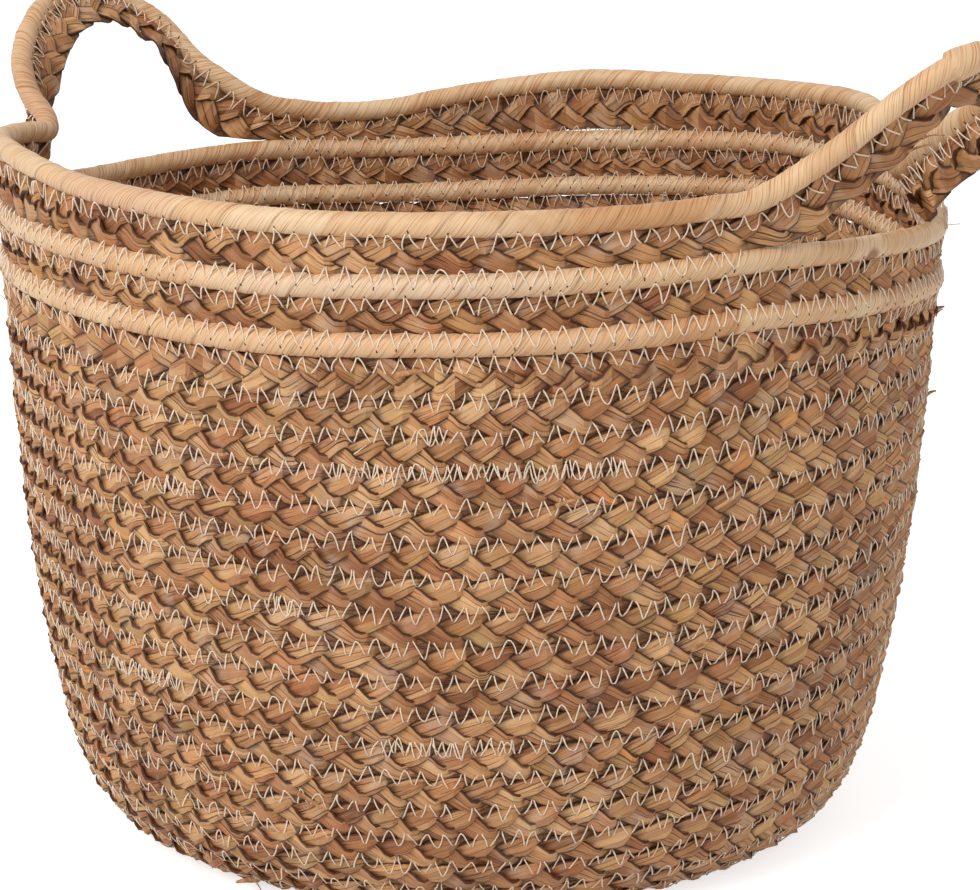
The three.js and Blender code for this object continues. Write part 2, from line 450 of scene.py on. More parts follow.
# Shape of a strand in a plait of this width. It narrows where it folds round the edge.
NOMINAL_WIDTH = 14.1 * MM
STRAND_HALF_WIDTH = 5.1 * MM
STRAND_HALF_THICKNESS = 0.9 * MM
STRAND_FULLNESS = 1.05
FOLD_NARROWING = 0.28
FOLD_SHARPNESS = 6

# Edge of a plait: how far the strands may pass their room, how softly they stop there, how much thinner they
# are, and how much painted shade darkens them along the seam, with the share of the half width where each
# sets in
EDGE_ROOM = 0.5 * MM
EDGE_SOFTNESS = 0.35 * MM
EDGE_THINNING = 0.35
EDGE_THINS_FROM = 0.4
SEAM_SHADE = 0.35
SEAM_SHADE_FROM = 0.7

# Leaf blades on each face of a strand: how far one stands over the next, the gap between them, how much of
# the strand's width they cover, how the face is domed, and the angle from which an edge is a crease
BLADES = 3
BLADE_LIP = 0.48 * MM
BLADE_GAP = 0.04
FLAT_SHARE = 0.93
DOME_HEIGHT = 1.1
DOME_FALL = 0.55
BLADE_CREASE = math.radians(32)

# Height of a strand off the plait's middle: waves of one, two and three to a crossing, and their highest sum
CROSSING_WAVES = (1, -0.4, 0.12)
CROSSING_PEAK = 1.2

# Slow changes along a plait: how far apart they come and how much they are. The lags, in radians, hurry the
# weave on and hold it back.
WANDER_DRIFT = (70 * MM, 0.4 * MM)
LAG_DRIFTS = ((60 * MM, 0.5), (150 * MM, 1.1), (340 * MM, 2.6))
EDGE_DRIFT = (40 * MM, 0.3 * MM)
STRAND_WIDTH_DRIFT = (90 * MM, 0.12)
BLADE_WIDTH_DRIFT = (45 * MM, 0.75)
BLADE_LIP_DRIFT = (50 * MM, 0.8)

# Changes from petal to petal: its width, its place across the plait, its height and its turn
PETAL_WIDTH_JITTER = 0.2
PETAL_PLACE_JITTER = 0.9 * MM
PETAL_HEIGHT_JITTER = 0.3 * MM
PETAL_TURN_JITTER = 0.12

# How far the patterns of a plait's strands lie apart, in petals
STRAND_PATTERN_STEP = 400


def strand_section(count, knots):
    """The section of a strand: on each face a few flat leaf blades of uneven width, laid like shingles."""
    across, raised, blade = [], [], []
    for face in (1, -1):
        widths = np.stack([1 + knots(*BLADE_WIDTH_DRIFT) for k in range(BLADES)])
        edges = np.vstack([np.zeros(count), np.cumsum(widths, axis=0)])
        edges = (2 * edges / edges[-1] - 1) * FLAT_SHARE
        across.append(np.full(count, -1.0 * face))
        raised.append(np.zeros(count))
        blade.append(0 if face == 1 else BLADES)
        for k in range(BLADES):
            lip = BLADE_LIP * (1 + knots(*BLADE_LIP_DRIFT)) * (-1) ** k
            for share in (BLADE_GAP / 2, 1 - BLADE_GAP / 2):
                at = mix(edges[k], edges[k + 1], share)
                dome = STRAND_HALF_THICKNESS * (DOME_HEIGHT - DOME_FALL * at**2)
                across.append(at * face)
                raised.append(face * (dome + lip * (share - 0.5)))
                blade.append(k + share + (0 if face == 1 else BLADES))
    return np.stack(across, 1), np.stack(raised, 1), np.array(blade)


def crossing_height(angle):
    """The height of a strand off the plait's middle, from -1 to 1, at twice its phase: it rises evenly while
    it crosses the plait and drops quickly where it folds round the edge."""
    waves = [share * np.sin(number * angle) for number, share in enumerate(CROSSING_WAVES, 1)]
    return sum(waves) / CROSSING_PEAK


def weave(place, distance, width, lay, hoop, seed):
    """The strands of a plait through stations at these distances. place(lateral, depth) sets their points."""
    draws = np.random.default_rng(seed)
    count = len(distance)
    total = distance[-1] + (distance[-1] - distance[-2] if hoop else 0)

    def knots(spacing, amount):
        return drift(distance, spacing, amount, draws, total, hoop)

    scale = width / NOMINAL_WIDTH
    wander = knots(*WANDER_DRIFT)
    lag = sum(knots(*lag_drift) for lag_drift in LAG_DRIFTS)
    edge = (width / 2 + EDGE_ROOM + knots(*EDGE_DRIFT))[:, None]
    strands = []
    for strand in range(STRANDS):
        phase = TURN * (np.arange(count) / STEPS_PER_PERIOD + strand / STRANDS) + lag
        petal = np.floor(phase / math.pi).astype(int)
        petal = petal - petal.min()
        jitters = draws.uniform(-1, 1, (4, petal.max() + 1))
        broader, aside, higher, turned = jitters[:, petal] * np.sin(phase) ** 2
        across, raised, blade = strand_section(count, knots)
        fullness = STRAND_FULLNESS + PETAL_WIDTH_JITTER * broader + knots(*STRAND_WIDTH_DRIFT)
        half_width = STRAND_HALF_WIDTH * scale * fullness
        half_width = half_width * (1 - FOLD_NARROWING * np.sin(phase) ** FOLD_SHARPNESS)
        swing = np.sin(phase) - STRAND_STRAIGHTNESS * np.sin(3 * phase)
        lateral = STRAND_SWING * scale * swing + wander + PETAL_PLACE_JITTER * aside
        lift = lay * (STRAND_LIFT * crossing_height(2 * phase) + PETAL_HEIGHT_JITTER * higher)
        roll = lay * STRAND_ROLL * np.sin(phase) * np.sin(4 * phase) + PETAL_TURN_JITTER * turned
        sideways = across * half_width[:, None]
        x = lateral[:, None] + sideways - roll[:, None] * raised
        z = lift[:, None] + roll[:, None] * sideways + raised
        over = np.maximum(np.abs(x) - edge + EDGE_SOFTNESS, 0)
        x = x - np.sign(x) * (over - EDGE_SOFTNESS * np.tanh(over / EDGE_SOFTNESS))
        # outside is near 1 on a strand's outer face and low where it lies deep in the plait. It is the mask
        # of painted shade in the plait's hollows.
        outside = np.clip(np.abs(z) / (STRAND_LIFT + STRAND_HALF_THICKNESS), 0, 1)
        # Painted shade along the seams: outside is lowered near the plait's edges
        outside = outside * (1 - SEAM_SHADE * smoothstep(np.abs(x) / edge, SEAM_SHADE_FROM, 1))
        z = z * (1 - EDGE_THINNING * smoothstep(np.abs(x) / edge, EDGE_THINS_FROM, 1))
        run = (phase - HIDDEN_PHASE) / math.pi + STRAND_PATTERN_STEP * strand
        strands.append({"points": place(x, z), "run": run, "blade": blade, "outside": outside})
    return strands


def plait_piece(name, strands, first, last, hoop, offset):
    """A piece made of the strands from one station to another, or of whole hoops. offset moves its leaf
    pattern on, so that no two pieces look alike."""
    points, quads, ends, uvs, shades = [], [], [], [], []
    count = last - first + (0 if hoop else 1)
    here = np.arange(count if hoop else count - 1)[:, None]
    after = (here + 1) % count
    for strand in strands:
        blade = strand["blade"]
        sides = len(blade)
        side = np.arange(sides)
        start = len(points) * count * sides
        points.append(strand["points"][first : first + count].reshape(-1, 3))
        shades.append(strand["outside"][first : first + count].ravel())
        low = start + here * sides
        high = start + after * sides
        turned = (side + 1) % sides
        quads.append(np.stack([low + side, high + side, high + turned, low + turned], -1).reshape(-1, 4))
        if not hoop:
            ends.append(start + side)
            ends.append(start + (count - 1) * sides + side[::-1])
        run = strand["run"][first : first + count]
        run = np.append(run, run[-1] + 2 / STEPS_PER_PERIOD)
        u = offset + run[here] + np.zeros(sides)
        v = np.zeros_like(u) + blade
        v_turned = np.zeros_like(u) + np.append(blade[1:], 2 * BLADES)
        u_after = offset + run[here + 1] + np.zeros(sides)
        corner_u = np.stack([u, u_after, u_after, u], -1)
        corner_v = np.stack([v, v, v_turned, v_turned], -1)
        uvs.append(np.stack([corner_u, corner_v], -1).reshape(-1, 2))
    faces = [np.concatenate(quads)] + ([np.array(ends)] if ends else [])
    piece = new_mesh(name, np.concatenate(points), faces, np.concatenate(uvs), sharp=BLADE_CREASE)
    # The outside attribute carries the mask of painted shade in the hollows and along the seams
    shade = piece.data.attributes.new("outside", "FLOAT", "POINT")
    shade.data.foreach_set("value", np.concatenate(shades).astype(np.float32))
    return piece


def stations(parameter, points, whole):
    """The stations of a plait: evenly along its middle, a set number of them to each period of the weave."""
    travelled = along_path(points)
    periods = travelled[-1] / STRAND_PERIOD
    count = round(periods) * STEPS_PER_PERIOD if whole else int(periods * STEPS_PER_PERIOD)
    stops = np.linspace(0, travelled[-1], count + 1)
    return np.interp(stops, travelled, parameter), stops


def winding_place(turns):
    inner, outer = strip_edges(turns)
    middle = ((inner + outer) / 2)[:, None]
    angle = (WINDING_START + TURN * turns)[:, None]

    def place(x, z):
        points = on_outline(middle + x, z, angle)
        points[..., 2] = np.maximum(points[..., 2], LEAST_FLOOR_GAP)
        return points

    return place


def make_winding():
    fine = np.linspace(WINDING_FROM, WINDING_TO, WINDING_STEPS)
    inner, outer = strip_edges(fine)
    middle = on_outline((inner + outer) / 2, 0, WINDING_START + TURN * fine)
    turns, stops = stations(fine, middle, whole=False)
    width = strip_width(turns) + SEAM_GAP
    strands = weave(winding_place(turns), stops, width, lay=1, hoop=False, seed=11)
    wall_start = BASE_ROWS * STEPS_PER_TURN
    winding_end = WINDING_TO * STEPS_PER_TURN
    per_strip = (winding_end - wall_start) / WALL_STRIPS
    cuts = [WINDING_FROM, BASE_ROWS]
    cuts += [(wall_start + round(i * per_strip)) / STEPS_PER_TURN for i in range(1, WALL_STRIPS)]
    cuts += [WINDING_TO]
    places = [int(np.argmin(np.abs(turns - cut))) for cut in cuts]
    pieces = {}
    for i, (first, last) in enumerate(zip(places, places[1:])):
        node = f"wall_plait_{i}" if i else "base_plait"
        piece = plait_piece(f"{node}_strands", strands, first, last, hoop=False, offset=0)
        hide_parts(node)
        pieces[node] = piece
    return pieces


def make_plait_hoop(node, along, width, lay, seed, offset):
    """A level plait whose ends meet. Its herringbone points the way of the lay, 1 or -1."""
    fine = np.linspace(0, TURN, HOOP_STEPS + 1)
    angle, stops = stations(fine, on_outline(along, 0, fine), whole=True)
    angle, stops = angle[:-1, None], stops[:-1]
    strands = weave(lambda x, z: on_outline(along + x, z, angle), stops, width, lay, True, seed)
    piece = plait_piece(f"{node}_strands", strands, 0, len(stops), True, offset)
    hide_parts(node)
    return piece


# The bands are woven a little broader than their room, so that their edges tuck under the cords.
LOWER_BAND_TUCK = 1.4 * MM
UPPER_BAND_TUCK = 1.6 * MM
UPPER_BAND_MIDDLE = CORD_RADIUS + SEAM_GAP + UPPER_BAND_WIDTH / 2


def make_upper_band(seed, offset):
    fine = np.linspace(0, RIM_LENGTH, RIM_STEPS + 1)
    at, stops = stations(fine, on_rim(UPPER_BAND_MIDDLE, 0, fine), whole=True)
    at, stops = at[:-1, None], stops[:-1]
    width = UPPER_BAND_WIDTH + UPPER_BAND_TUCK
    strands = weave(lambda x, z: on_rim(UPPER_BAND_MIDDLE - x, z, at), stops, width, 1, True, seed)
    piece = plait_piece("upper_band_plait_strands", strands, 0, len(stops), True, offset)
    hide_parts("upper_band_plait")
    return piece


# CORDS
# A cord is a round core with strips of husk wound round it, each edge lying a little proud of the last.
CORD_SIDES = 24
WRAP_STEPS = 16
WRAP_PITCH = 21 * MM

# A wrap is so many steps long that its last ring lies close to the next wrap's edge
WRAP_SPAN = WRAP_STEPS - 0.85

# Height of a wrap's proud edge, how much it varies from wrap to wrap, and the share of it that sinks in
HUSK_STEP = 0.22 * MM
HUSK_STEP_SHARES = (0.3, 1.6)
HUSK_SINK = 0.4

# Unevenness of a cord's thickness: slow changes along it, and changes from ring to ring
CORD_DRIFT = (45 * MM, 0.25 * MM)
RING_JITTER = 0.12 * MM

# The raised end of a wrap on the right handle: where it starts and ends in degrees, and its thickness
COLLAR_FROM = -6
COLLAR_TO = 2
COLLAR_THICKNESS = 1.5 * MM


def make_cord(node, place, length, seed, offset, collar=None):
    """place(distance, up, outwards) gives points round the cord's middle line. A collar is a raised stretch
    of husk: where it starts and ends along the cord, and how thick it is where it starts."""
    draws = np.random.default_rng(seed)
    wraps = round(length / WRAP_PITCH)
    count = wraps * WRAP_STEPS
    ring = np.arange(count)
    side = np.arange(CORD_SIDES)
    wrapped = side / CORD_SIDES
    step = ring % WRAP_STEPS
    share = step / WRAP_SPAN
    wrap = ring // WRAP_STEPS + share
    distance = ((wrap[:, None] - wrapped) / wraps * length) % length
    spin = -math.pi / 2 - TURN * wrapped
    edge_lift = np.repeat(draws.uniform(*HUSK_STEP_SHARES, wraps), WRAP_STEPS)
    swell = drift(ring / count * length, *CORD_DRIFT, draws, length, True)
    radius = CORD_RADIUS + swell + HUSK_STEP * edge_lift * (share**2 - HUSK_SINK)
    radius = radius[:, None] + RING_JITTER * draws.uniform(-1, 1, (count, 1))
    if collar:
        first, last, thickness = collar
        raised = (distance > first) * (1 - smoothstep(distance, first, last))
        radius = radius + thickness * raised
    points = place(distance, radius * np.sin(spin), radius * np.cos(spin))
    wrap_back = np.where(side == CORD_SIDES - 1, WRAP_STEPS, 0)
    here = ring[:, None] * CORD_SIDES + side
    after = ((ring + 1) % count)[:, None] * CORD_SIDES + side
    turned_ring = (ring[:, None] - wrap_back) % count
    turned_after = (ring[:, None] + 1 - wrap_back) % count
    turned = (side + 1) % CORD_SIDES
    here_turned = turned_ring * CORD_SIDES + turned
    after_turned = turned_after * CORD_SIDES + turned
    quads = np.stack([here, after, after_turned, here_turned], -1).reshape(-1, 4)
    u = (wrap[:, None] + np.zeros(CORD_SIDES)) + offset
    u_after = np.where(step == WRAP_STEPS - 1, ring // WRAP_STEPS + 1, wrap + 1 / WRAP_SPAN)
    u_after = u_after[:, None] + np.zeros(CORD_SIDES) + offset
    v = wrapped + np.zeros_like(u)
    v_turned = v + 1 / CORD_SIDES
    corner_u = np.stack([u, u_after, u_after, u], -1)
    corner_v = np.stack([v, v, v_turned, v_turned], -1)
    uv = np.stack([corner_u, corner_v], -1).reshape(-1, 2)
    piece = new_mesh(f"{node}_husk", points.reshape(-1, 3), [quads], uv, "husk")
    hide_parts(node)
    return piece


def level_cord(node, along, seed, offset):
    fine = np.linspace(0, TURN, HOOP_STEPS + 1)
    travelled = along_path(on_outline(along, 0, fine))

    def place(distance, up, outwards):
        return on_outline(along + up, outwards, np.interp(distance, travelled, fine))

    return make_cord(node, place, travelled[-1], seed, offset)


def rim_distance(degrees):
    """How far along the rim the point at this angle lies."""
    angle = np.degrees(np.arctan2(RIM_POINTS[:, 1], RIM_POINTS[:, 0]))
    return RIM_ALONG[np.argmin(np.abs((angle - degrees + 180) % 360 - 180))]


def rim_cord(seed, offset):
    collar = (rim_distance(COLLAR_FROM), rim_distance(COLLAR_TO), COLLAR_THICKNESS)
    return make_cord("rim_cord", lambda at, up, out: on_rim(-up, out, at), RIM_LENGTH, seed, offset, collar)


# SEWING THREADS
# Each seam is sewn with a zig-zag on the outside and another on the inside. A leg is a short length of
# thread that lies on the surface and dips into the plait at both ends.
THREAD_RADIUS = 0.36 * MM
ZIGZAG_PITCH = 7.2 * MM
ZIGZAG_HEIGHT = 7.3 * MM
LEG_STEPS = 5
THREAD_SIDES = 3
SEAM_STEPS = 2000

# Unevenness of the stitches: changes from corner to corner, and slow changes along the seam
CORNER_JITTER = 0.9 * MM
HEIGHT_JITTER = 0.9 * MM
CORNER_DRIFT = (50 * MM, 1.2 * MM)
HEIGHT_DRIFT = (60 * MM, 0.8 * MM)
LEG_BOW = 0.05

# Some corners are loose and rounded. At the others the thread comes out of the plait so many millimetres from
# where it went in.
ROUNDED_SHARE = 0.3
ROUNDED_SLOPE = 0.1
STITCH_WIDTHS = (0.1, 1.1)

# A thread's middle lies this share of its radius over the leaf, and dips so far into it at the corners, which
# start from no deeper than this under the seam's usual surface.
THREAD_PROUD = 0.6
CORNER_DIP = 0.9 * MM
DEEPEST_END = 0.7 * MM
THREAD_FLOOR_GAP = 0.1 * MM

# How far the corners reach up and down from a seam: between rows, and under and over a cord
ROW_REACH = (ZIGZAG_HEIGHT / 2, -ZIGZAG_HEIGHT / 2)
CORD_REACHES = {"under": (1.6 * MM, -5.4 * MM), "over": (1.5 * MM, -5.0 * MM)}

# Seeds of the stitches
THREAD_SEED = 1000
SEEDS_TO_A_SEAM = 10
SEEDS_TO_A_STRETCH = 3

# Needle holes, drawn as dark dashes of painted shade inside them: the share of a cord's corners that show
# one, where a hole starts and ends past its corner in millimetres, how its length and place vary, and how
# deep it is sunk
HOLE_SHARE = 0.7
HOLE_RADIUS = 0.42 * MM
HOLE_SIDES = 5
HOLE_REACH = (-0.2, 0.9)
HOLE_LENGTHS = (0.6, 1.2)
HOLE_JITTER = 0.5
HOLE_DEPTH = 0.2 * MM

# Stretches of the winding's seams that are sewn over a second time with close stitches, in turns
TIGHT_PITCH = 4.4 * MM
TIGHT_STRETCHES = (
    (24.325, 24.42),
    (25.354, 25.365),
    (23.262, 23.279),
    (20.303, 20.318),
    (19.246, 19.26),
    (17.228, 17.266),
    (16.34, 16.387),
)


def surface_finder(pieces):
    """Looks up points on the outer or inner surface of the sewn pieces."""
    points, triangles, start = [], [], 0
    for piece in pieces:
        mesh = piece.data
        mesh.calc_loop_triangles()
        co = np.empty(len(mesh.vertices) * 3, np.float32)
        mesh.vertices.foreach_get("co", co)
        tri = np.empty(len(mesh.loop_triangles) * 3, np.int32)
        mesh.loop_triangles.foreach_get("vertices", tri)
        points.append(co.reshape(-1, 3))
        triangles.append(tri.reshape(-1, 3) + start)
        start += len(mesh.vertices)
    both = new_mesh("sewn_surface", np.concatenate(points), [np.concatenate(triangles)])
    tree = BVHTree.FromObject(both, bpy.context.evaluated_depsgraph_get())
    mesh = both.data
    bpy.data.objects.remove(both)
    bpy.data.meshes.remove(mesh)
    return tree


# How far off a seam the search for the surface starts
SEARCH_REACH = 9 * MM

# Which way is outwards for a thread or a ribbon: mostly away from the basket's axis
OUTWARDS_SHARES = (1, 1, 0.3)


def settle(tree, place, distance, up, side):
    """Heights of the surface off the seam at these places, on the outer (1) or inner (-1) side."""
    far = place(distance, up, side * SEARCH_REACH)
    near = place(distance, up, np.zeros_like(up))
    heights = np.full(len(up), np.nan)
    for i, (start, end) in enumerate(zip(far.tolist(), near.tolist())):
        start = Vector(start)
        travelled = tree.ray_cast(start, (Vector(end) - start).normalized(), SEARCH_REACH)[3]
        if travelled is not None:
            heights[i] = SEARCH_REACH - travelled
    return heights


def zigzag(tree, place, length, side, seed, reach, pitch):
    """Middle lines of the thread's legs along a seam, and for each corner its distance along the seam, its
    height off it, and whether it is an upper one. place(distance, up, outwards) gives points off the seam,
    and reach is how far up and down the thread goes."""
    draws = np.random.default_rng(seed)
    count = int(length / (pitch / 2))
    upper = np.arange(count) % 2 == 1
    uneven = pitch / ZIGZAG_PITCH
    corner = (np.arange(count) + 0.5) * length / count
    corner = corner + draws.uniform(-CORNER_JITTER, CORNER_JITTER, count) * uneven
    spacing, amount = CORNER_DRIFT
    corner = corner + drift(corner, spacing, amount * uneven, draws, length, False)
    height = np.where(upper, *reach) + draws.uniform(-HEIGHT_JITTER, HEIGHT_JITTER, count)
    height = height + drift(corner, *HEIGHT_DRIFT, draws, length, False)
    rounded = draws.random(count) < ROUNDED_SHARE
    apart = np.where(rounded, 0, draws.uniform(*STITCH_WIDTHS, count) * uneven * MM)
    share = np.linspace(0, 1, LEG_STEPS + 1)
    ahead = (corner[1:] - apart[1:] / 2 - corner[:-1] - apart[:-1] / 2)[:, None]
    climb = (height[1:] - height[:-1])[:, None]
    first_slope = np.where(rounded[:-1], ROUNDED_SLOPE, 1)[:, None]
    last_slope = np.where(rounded[1:], ROUNDED_SLOPE, 1)[:, None]
    risen = first_slope * (share**3 - 2 * share**2 + share) + 3 * share**2 - 2 * share**3
    risen = risen + last_slope * (share**3 - share**2)
    bow = draws.normal(0, LEG_BOW, count - 1)[:, None] * np.sin(math.pi * share)
    distance = (corner[:-1] + apart[:-1] / 2)[:, None] + ahead * share - bow * climb
    up = height[:-1, None] + climb * risen + bow * ahead
    raised = settle(tree, place, distance.ravel(), up.ravel(), side).reshape(up.shape)
    usual = np.nanmedian(raised)
    raised = np.where(np.isnan(raised), usual, raised)
    ends = np.maximum(raised[:, [0, -1]], usual - DEEPEST_END)
    chord = mix(ends[:, :1], ends[:, 1:], share)
    raised = np.maximum(raised, chord) + THREAD_PROUD * THREAD_RADIUS
    raised[:, 0] -= np.where(rounded[:-1], 0, CORNER_DIP)
    raised[:, -1] -= np.where(rounded[1:], 0, CORNER_DIP)
    paths = place(distance, up, side * raised)
    paths[..., 2] = np.maximum(paths[..., 2], THREAD_RADIUS + THREAD_FLOOR_GAP)
    return paths, np.stack([corner, height, upper], axis=1)


def needle_holes(tree, place, side, corners, seed):
    """Short dashes of painted shade, for the dark inside the needle holes, just past some of a thread's
    corners, sunk into the cord.
    """
    draws = np.random.default_rng(seed)
    corners = corners[draws.random(len(corners)) < HOLE_SHARE]
    distance, up = corners[:, :1], corners[:, 1:2]
    beyond = np.where(corners[:, 2:] > 0, 1, -1) * np.array(HOLE_REACH) * MM
    up = up + beyond * draws.uniform(*HOLE_LENGTHS, up.shape)
    distance = distance + draws.uniform(-HOLE_JITTER, HOLE_JITTER, up.shape) * MM
    raised = settle(tree, place, distance.ravel(), up.ravel(), side).reshape(up.shape)
    raised = np.where(np.isnan(raised), np.nanmedian(raised), raised)
    return place(distance, up, side * (raised - HOLE_DEPTH))


def tubes(name, paths, radius, sides, spread=1):
    """A piece of closed tubes along paths with equally many points each: an array of (path, point, 3).
    spread widens them sideways into ribbons."""
    run = unit(np.gradient(paths, axis=1))
    out = unit(paths * np.array(OUTWARDS_SHARES))
    across = unit(np.cross(run, out))
    out = np.cross(across, run)
    turns = TURN * np.arange(sides) / sides
    across = across * np.broadcast_to(spread, paths.shape[:2])[..., None]
    ring = across[:, :, None] * np.cos(turns)[:, None] + out[:, :, None] * np.sin(turns)[:, None]
    points = paths[:, :, None] + ring * radius
    count, steps = paths.shape[:2]
    base = (np.arange(count) * steps * sides)[:, None, None]
    low = base + np.arange(steps - 1)[None, :, None] * sides
    high = low + sides
    side = np.arange(sides)
    turned = (side + 1) % sides
    quads = np.stack(np.broadcast_arrays(low + side, low + turned, high + turned, high + side), -1)
    first = base[:, 0] + side[::-1]
    last = base[:, 0] + (steps - 1) * sides + side
    return new_mesh(name, points.reshape(-1, 3), [quads.reshape(-1, 4), np.concatenate([first, last])])


# A seam is a pair: the function that gives points off its middle line, and its length.
def winding_seam(first, last):
    turns = np.linspace(first, last, SEAM_STEPS)
    boundary = np.minimum(PITCH * rows_climbed(turns + 1), WINDING_LENGTH) - SEAM_GAP / 2
    angle = WINDING_START + TURN * turns
    travelled = along_path(on_outline(boundary, 0, angle))

    def place(distance, up, outwards):
        at = np.interp(distance, travelled, boundary)
        return on_outline(at + up, outwards, np.interp(distance, travelled, angle))

    return place, travelled[-1]


def level_seam(along, first=0, last=TURN):
    angle = np.linspace(first, last, SEAM_STEPS)
    travelled = along_path(on_outline(along, 0, angle))

    def place(distance, up, outwards):
        return on_outline(along + up, outwards, np.interp(distance, travelled, angle))

    return place, travelled[-1]


def rim_seam():
    below = CORD_RADIUS + SEAM_GAP / 2
    return lambda at, up, out: on_rim(below - up, out, at), RIM_LENGTH


def make_threads(tree):
    """The sewing threads seam by seam, and one piece of painted shade for the holes that the needle left in
    the cords.
    """
    cord_edge = CORD_RADIUS + SEAM_GAP / 2
    over_middle = MIDDLE_CORD_ALONG + cord_edge
    seams = {
        "under_lower_cord": [level_seam(LOWER_CORD_ALONG - cord_edge)],
        "over_lower_cord": [level_seam(LOWER_CORD_ALONG + cord_edge)],
        "under_middle_cord": [level_seam(MIDDLE_CORD_ALONG - cord_edge)],
        "over_middle_cord": [level_seam(over_middle, *ends) for ends in np.radians(LEVEL_STRETCHES)],
        "under_rim_cord": [rim_seam()],
        "base": [winding_seam(WINDING_FROM, BASE_ROWS)],
        "tight_stitches": [winding_seam(*stretch) for stretch in TIGHT_STRETCHES],
    }
    wall_turns = WINDING_TO - BASE_ROWS
    for i in range(WALL_STRIPS):
        first = BASE_ROWS + wall_turns * i / WALL_STRIPS
        seams[f"wall_{i + 1}"] = [winding_seam(first, first + wall_turns / WALL_STRIPS)]
    made, holes = [], []
    for number, (seam, stretches) in enumerate(seams.items()):
        relation = seam.split("_")[0]
        on_a_cord = relation in CORD_REACHES
        reach = CORD_REACHES.get(relation, ROW_REACH)
        pitch = TIGHT_PITCH if relation == "tight" else ZIGZAG_PITCH
        for side, word in ((1, "outer"), (-1, "inner")):
            legs = []
            for i, (place, length) in enumerate(stretches):
                seed = THREAD_SEED + SEEDS_TO_A_SEAM * number + side + SEEDS_TO_A_STRETCH * i
                paths, corners = zigzag(tree, place, length, side, seed, reach, pitch)
                legs.append(paths)
                if on_a_cord:
                    in_cord = corners[:, 2] == (relation == "under")
                    holes.append(needle_holes(tree, place, side, corners[in_cord], seed))
            made.append(tubes(f"{word}_thread_{seam}", np.concatenate(legs), THREAD_RADIUS, THREAD_SIDES))
    return made, tubes("needle_holes", np.concatenate(holes), HOLE_RADIUS, HOLE_SIDES)


# STRAY ENDS
# Where each starts (degrees round and millimetres up), where it goes (millimetres round, up and outwards)
# and its width in millimetres
STRAY_LEAVES = (
    (29, 232, 2, 1, 3, 2.4),
    (30, 229, 3, 2, 2.5, 1.6),
    (29, 193, 2, 1, 3, 2.2),
    (274, 10, -6, -2, 1.5, 3),
    (275, 11, 5, -3, 1.5, 1.2),
    (268, 18, 6, -3, 2, 4.5),
    (277, 230, -3, 5, 3, 1.4),
    (276, 229, 3, 5, 3, 1.6),
    (249, 92, -4, 3, 3, 2),
    (301, 236, 9, 2, 2, 3),
    (318, 184, 8, 3, 2.5, 2),
    (287, 60, 9, -3, 2.5, 2.4),
    (335, 120, 7, 3, 2.5, 1.8),
)
STRAY_THREADS = (
    (29, 268, 1, 1, 7, 0.5),
    (228, 230, 2, 3, 3.5, 0.5),
    (296, 205, 5, 4, 3, 0.5),
)
# Fibres that fray off the lower edge of the right handle's band: degrees, then millimetres along, down and
# outwards, and its width in millimetres
FRAYED_FIBRES = ((-10.6, 9, 3, 2, 1.4), (-10.2, 10, 1, 3, 0.8), (-9.8, 8, 5, 2.5, 0.7))
STRAY_STEPS = 6
STRAY_SIDES = 6
STRAY_THICKNESS = 0.5 * MM

# The share of a stray end's length that is rooted in the surface, and of its width that is left at its tip
STRAY_ROOT = 0.15
STRAY_TIP = 0.35

# The start of the wound plait, tucked under itself, closes the middle of the base: its radius, the shares of
# it that it is broad and high, and the fineness of its mesh
TUCK_RADIUS = 5 * MM
TUCK_BREADTH = 0.85
TUCK_FLATNESS = 0.46
TUCK_SIDES = 20
TUCK_RINGS = 10


def stray_paths(starts, sideways, upwards, outwards, moves):
    """Paths that leave the surface at their starts and curl away from it."""
    share = np.linspace(-STRAY_ROOT, 1, STRAY_STEPS)[:, None]
    curl = share * np.abs(share)
    paths = []
    for start, side, up, out, (around, rise, away) in zip(starts, sideways, upwards, outwards, moves):
        paths.append(start + MM * (side * around * share + up * rise * share + out * away * curl))
    return np.array(paths)


def ribbons(name, paths, widths):
    taper = np.linspace(1, STRAY_TIP, STRAY_STEPS)
    spread = widths[:, None] / STRAY_THICKNESS * taper
    return tubes(name, paths, STRAY_THICKNESS / 2, STRAY_SIDES, spread)


def strays(name, table):
    table = np.array(table)
    angle = np.radians(table[:, 0])
    along = np.interp(table[:, 1] * MM, OUTLINE_POINTS[:, 1], OUTLINE_ALONG)
    starts = on_outline(along, PLAIT_THICKNESS / 2, angle)
    out = np.stack([np.cos(angle), np.sin(angle), 0 * angle], axis=1)
    side = np.stack([-np.sin(angle), np.cos(angle), 0 * angle], axis=1)
    up = np.broadcast_to([0, 0, 1], out.shape)
    paths = stray_paths(starts, side, up, out, table[:, 2:5])
    paths[..., 2] = np.maximum(paths[..., 2], STRAY_THICKNESS)
    return ribbons(name, paths, table[:, 5] * MM)


def frayed_fibres():
    table = np.array(FRAYED_FIBRES)
    distance = np.array([rim_distance(degrees) for degrees in table[:, 0]])
    starts = on_rim(CORD_RADIUS + SEAM_GAP + UPPER_BAND_WIDTH, 0, distance)
    run, down, out = (on_row(distance, RIM_ALONG, row) for row in (RIM_RUN, RIM_DOWN, RIM_OUT))
    return ribbons("frayed_fibres", stray_paths(starts, run, down, out, table[:, 1:4]), table[:, 4] * MM)


def tucked_start():
    bpy.ops.mesh.primitive_uv_sphere_add(
        segments=TUCK_SIDES, ring_count=TUCK_RINGS, radius=TUCK_RADIUS, location=(0, 0, PLAIT_THICKNESS / 2)
    )
    piece = bpy.context.object
    piece.name = "base_plait_start"
    piece.scale = (1, TUCK_BREADTH, TUCK_FLATNESS)
    bpy.ops.object.transform_apply(location=True, rotation=True, scale=True)
    bpy.ops.object.shade_smooth()
    return piece


